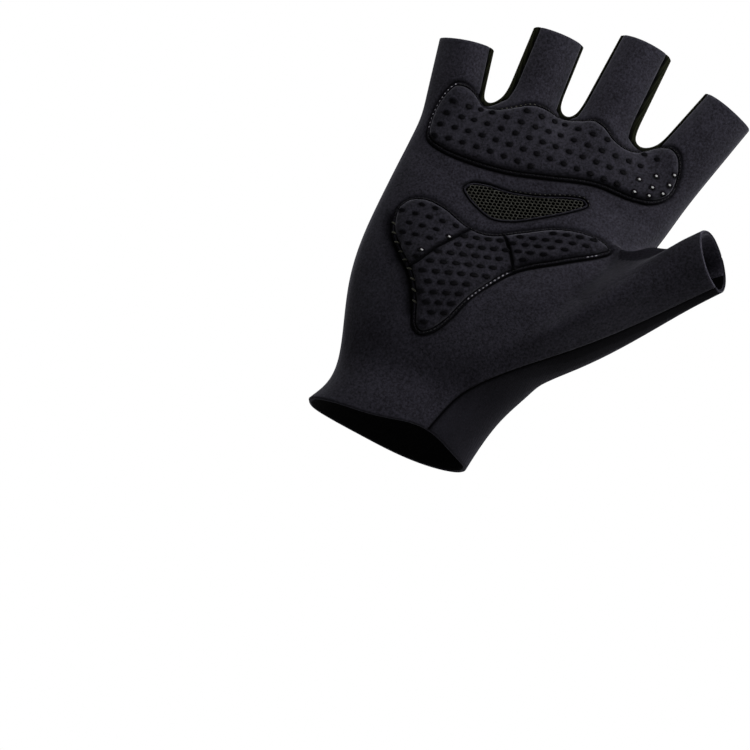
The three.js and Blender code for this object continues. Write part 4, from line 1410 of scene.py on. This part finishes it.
# The share of its radius that a stitch has at its ends, and how far stitches stand off a pad
STITCH_END = 0.45
STITCH_LIFT = 0.05
VENT_STITCHES = {"out": 0.3, "ends": ((22.3, 96.6), (-5.0, 88.3))}


def stitch(start, end, normal, radius, rise):
    """One thread from hole to hole, proud in its middle and sunk at both ends."""
    along = unit(end - start)
    side = np.cross(along, normal)
    points, faces = [], []
    for r in range(STITCH_RINGS):
        t = r / (STITCH_RINGS - 1)
        centre = lerp(start, end, t) + normal * (rise * 2 * sin(pi * t) - rise)
        girth = radius * lerp(STITCH_END, 1, sin(pi * t) ** 0.5)
        for k in range(STITCH_SIDES):
            turn = 2 * pi * k / STITCH_SIDES
            points.append(centre + side * girth * cos(turn) + normal * girth * sin(turn))
    for r in range(STITCH_RINGS - 1):
        faces += ring_faces(r * STITCH_SIDES, (r + 1) * STITCH_SIDES, STITCH_SIDES)
    faces.append(list(reversed(range(STITCH_SIDES))))
    faces.append([(STITCH_RINGS - 1) * STITCH_SIDES + k for k in range(STITCH_SIDES)])
    return points, faces


def stitches_piece(name, path, normals, colour, size):
    """Stitches along a line in space; path and normals hold closely spaced points."""
    along = lengths(path)
    count = int(along[-1] / size["pitch"])

    def at(s, values):
        return np.array([np.interp(s, along, values[:, i]) for i in range(3)])

    parts = []
    for i in range(count):
        s = i * along[-1] / count
        start, end = at(s, path), at(s + size["long"], path)
        normal = unit(at(s, normals))
        half = turned((end - start) / 2, normal, radians(size["slant"]))
        middle = (start + end) / 2
        parts.append(stitch(middle - half, middle + half, normal, size["radius"], size["rise"]))
    piece = make_object(name, *join(parts), (colour,))


def pad_stitches(name, loop, colour, size, start, end):
    """Stitches on a pad's flange between two places of its outline."""
    ring = offset_loop(loop, FLANGE["row"])
    base, normals = on_palm(ring)
    normals = smoothed(normals, ring)
    path = base + normals * (pad_height(ring, loop, []) + STITCH_LIFT)[:, None]
    picked = stretch_of(ring, start, end)
    stitches_piece(name, path[picked], normals[picked], colour, size)


# loop, thread, stitch, and where each stretch starts and ends, in x and z, anticlockwise
STITCHED = (
    ("knuckle_pale_side", knuckle_loop, PALE_THREAD, BEAD, (-37.3, 114.6), (-37.6, 95.5)),
    ("knuckle_dark_foot", knuckle_loop, DARK_THREAD, STITCH, (-37.6, 95.5), (-10.0, 120.6)),
    ("knuckle_olive_crotch", knuckle_loop, OLIVE_THREAD, BEAD, (-10.0, 120.6), (-20.8, 114.5)),
    ("knuckle_dark_head", knuckle_loop, DARK_THREAD, STITCH, (-20.8, 114.5), (-37.3, 114.6)),
    ("heel_olive_side", heel_loop, OLIVE_THREAD, SLANTED, (-33.6, 60.6), (-14.5, 34.0)),
    ("heel_dark_toe", heel_loop, DARK_THREAD, STITCH, (-14.5, 34.0), (0.7, 47.2)),
    ("heel_pale_side", heel_loop, PALE_THREAD, BOLD, (0.7, 47.2), (9.9, 63.2)),
    ("heel_dark_wing", heel_loop, DARK_THREAD, STITCH, (9.9, 63.2), (29.5, 78.6)),
    ("heel_pale_wing", heel_loop, PALE_THREAD, STITCH, (29.5, 78.6), (33.5, 81.8)),
    ("heel_dark_head", heel_loop, DARK_THREAD, STITCH, (33.5, 81.8), (-33.6, 60.6)),
)
for name, loop, colour, size, start, end in STITCHED:
    pad_stitches(f"{name}_stitches", loop, colour, size, start, end)
vent_row = offset_loop(vent_loop, -VENT_STITCHES["out"])[stretch_of(vent_loop, *VENT_STITCHES["ends"])]
stitches_piece("vent_olive_stitches", *on_palm(vent_row), VENT_NET, BEAD)


# Floor, light and camera

FLOOR_Z = -0.30
FLOOR_HALF = 3.0
LENS = 100.0
SENSOR = 36.0
FRAME = 750
PITCH = -17.0
HAND_TILT = 28.0
PIXELS_PER_METRE = 2900.0
TARGET = Vector((0.014, 0.0, 0.0847))
TARGET_PIXEL = (545, 235)
AMBIENT = 0.02


def add_floor():
    mesh = bpy.data.meshes.new("floor")
    corners = [(x * FLOOR_HALF, y * FLOOR_HALF, FLOOR_Z) for x, y in ((-1, -1), (1, -1), (1, 1), (-1, 1))]
    mesh.from_pydata(corners, [], [(0, 1, 2, 3)])
    mesh.materials.append(material("floor_paint", (0.8, 0.8, 0.8), 0.8))
    put("floor", mesh)


def add_light(name, place, aim, size, watts, glint=False):
    """A soft round light; only one that glints shows in the rubber dots."""
    light = bpy.data.lights.new(name, "AREA")
    light.shape = "DISK"
    light.size = size
    light.energy = watts
    holder = put(name, light)
    holder.location = place
    holder.rotation_euler = (Vector(aim) - Vector(place)).to_track_quat("-Z", "Y").to_euler()
    holder.visible_glossy = glint


def add_camera():
    """Looks at the target from the photograph's angle, with the hand tilted in the picture as it is there."""
    focal = LENS / SENSOR * FRAME
    distance = focal / PIXELS_PER_METRE
    back = Vector((0, -cos(radians(PITCH)), sin(radians(PITCH))))
    camera = bpy.data.cameras.new("camera")
    camera.lens = LENS
    camera.sensor_width = SENSOR
    holder = put("camera", camera)
    right = (-back).cross(Vector((0, 0, 1))).normalized()
    up = right.cross(-back)
    level = Matrix((right, up, back)).transposed()
    tilted = level @ Matrix.Rotation(radians(HAND_TILT), 3, "Z")
    x, y = (TARGET_PIXEL[0] - FRAME / 2) / focal, -(TARGET_PIXEL[1] - FRAME / 2) / focal
    aside = Vector((x, y, -1)).normalized().rotation_difference(Vector((0, 0, -1))).to_matrix()
    holder.matrix_world = Matrix.Translation(TARGET + back * distance) @ (tilted @ aside).to_4x4()
    bpy.context.scene.camera = holder


def add_world():
    """A white backdrop for the camera, and a faint even light for everything else."""
    world = bpy.data.worlds.new("studio")
    world.use_nodes = True
    tree = world.node_tree
    ambient = tree.nodes["Background"]
    seen = tree.nodes.new("ShaderNodeBackground")
    for background, strength in ((ambient, AMBIENT), (seen, 1.0)):
        set_inputs(background, {"Color": (1, 1, 1, 1), "Strength": strength})
    path = tree.nodes.new("ShaderNodeLightPath")
    mix = add_node(tree, "ShaderNodeMixShader", {
        "Fac": path.outputs["Is Camera Ray"], 1: ambient.outputs[0], 2: seen.outputs[0]}, {})
    tree.links.new(mix.outputs[0], tree.nodes["World Output"].inputs["Surface"])
    bpy.context.scene.world = world


PALM_MIDDLE = (0.01, 0.0, 0.08)
KNUCKLES = (0.03, 0.0, 0.11)
FINGER_MIDDLE = (0.0, 0.0, 0.14)
# name, place, what it points at, width and power
LIGHTS = (
    ("key", (0.24, -0.17, 0.38), KNUCKLES, 0.26, 1.06),
    ("near_right", (0.17, -0.10, 0.30), KNUCKLES, 0.2, 0.45),
    ("right_back", (0.35, 0.15, 0.35), PALM_MIDDLE, 0.3, 0.85),
    ("right_low", (0.5, -0.1, 0.05), PALM_MIDDLE, 0.3, 0.42),
    ("fingers", (0.03, -0.16, 0.27), FINGER_MIDDLE, 0.2, 0.3),
    ("fingers_left", (-0.12, -0.12, 0.28), FINGER_MIDDLE, 0.15, 0.45),
    ("rear", (0.4, 0.7, 0.6), PALM_MIDDLE, 0.6, 1.2),
    ("rear_left", (-0.5, 0.42, 0.5), PALM_MIDDLE, 0.2, 1.7),
)
add_floor()
add_world()
for name, place, aim, size, watts in LIGHTS:
    add_light(name, place, aim, size, watts)
add_light("spark", (0.26, -0.43, 0.28), KNUCKLES, 0.14, 0.5, glint=True)
add_camera()
bpy.context.scene.view_settings.view_transform = "Standard"
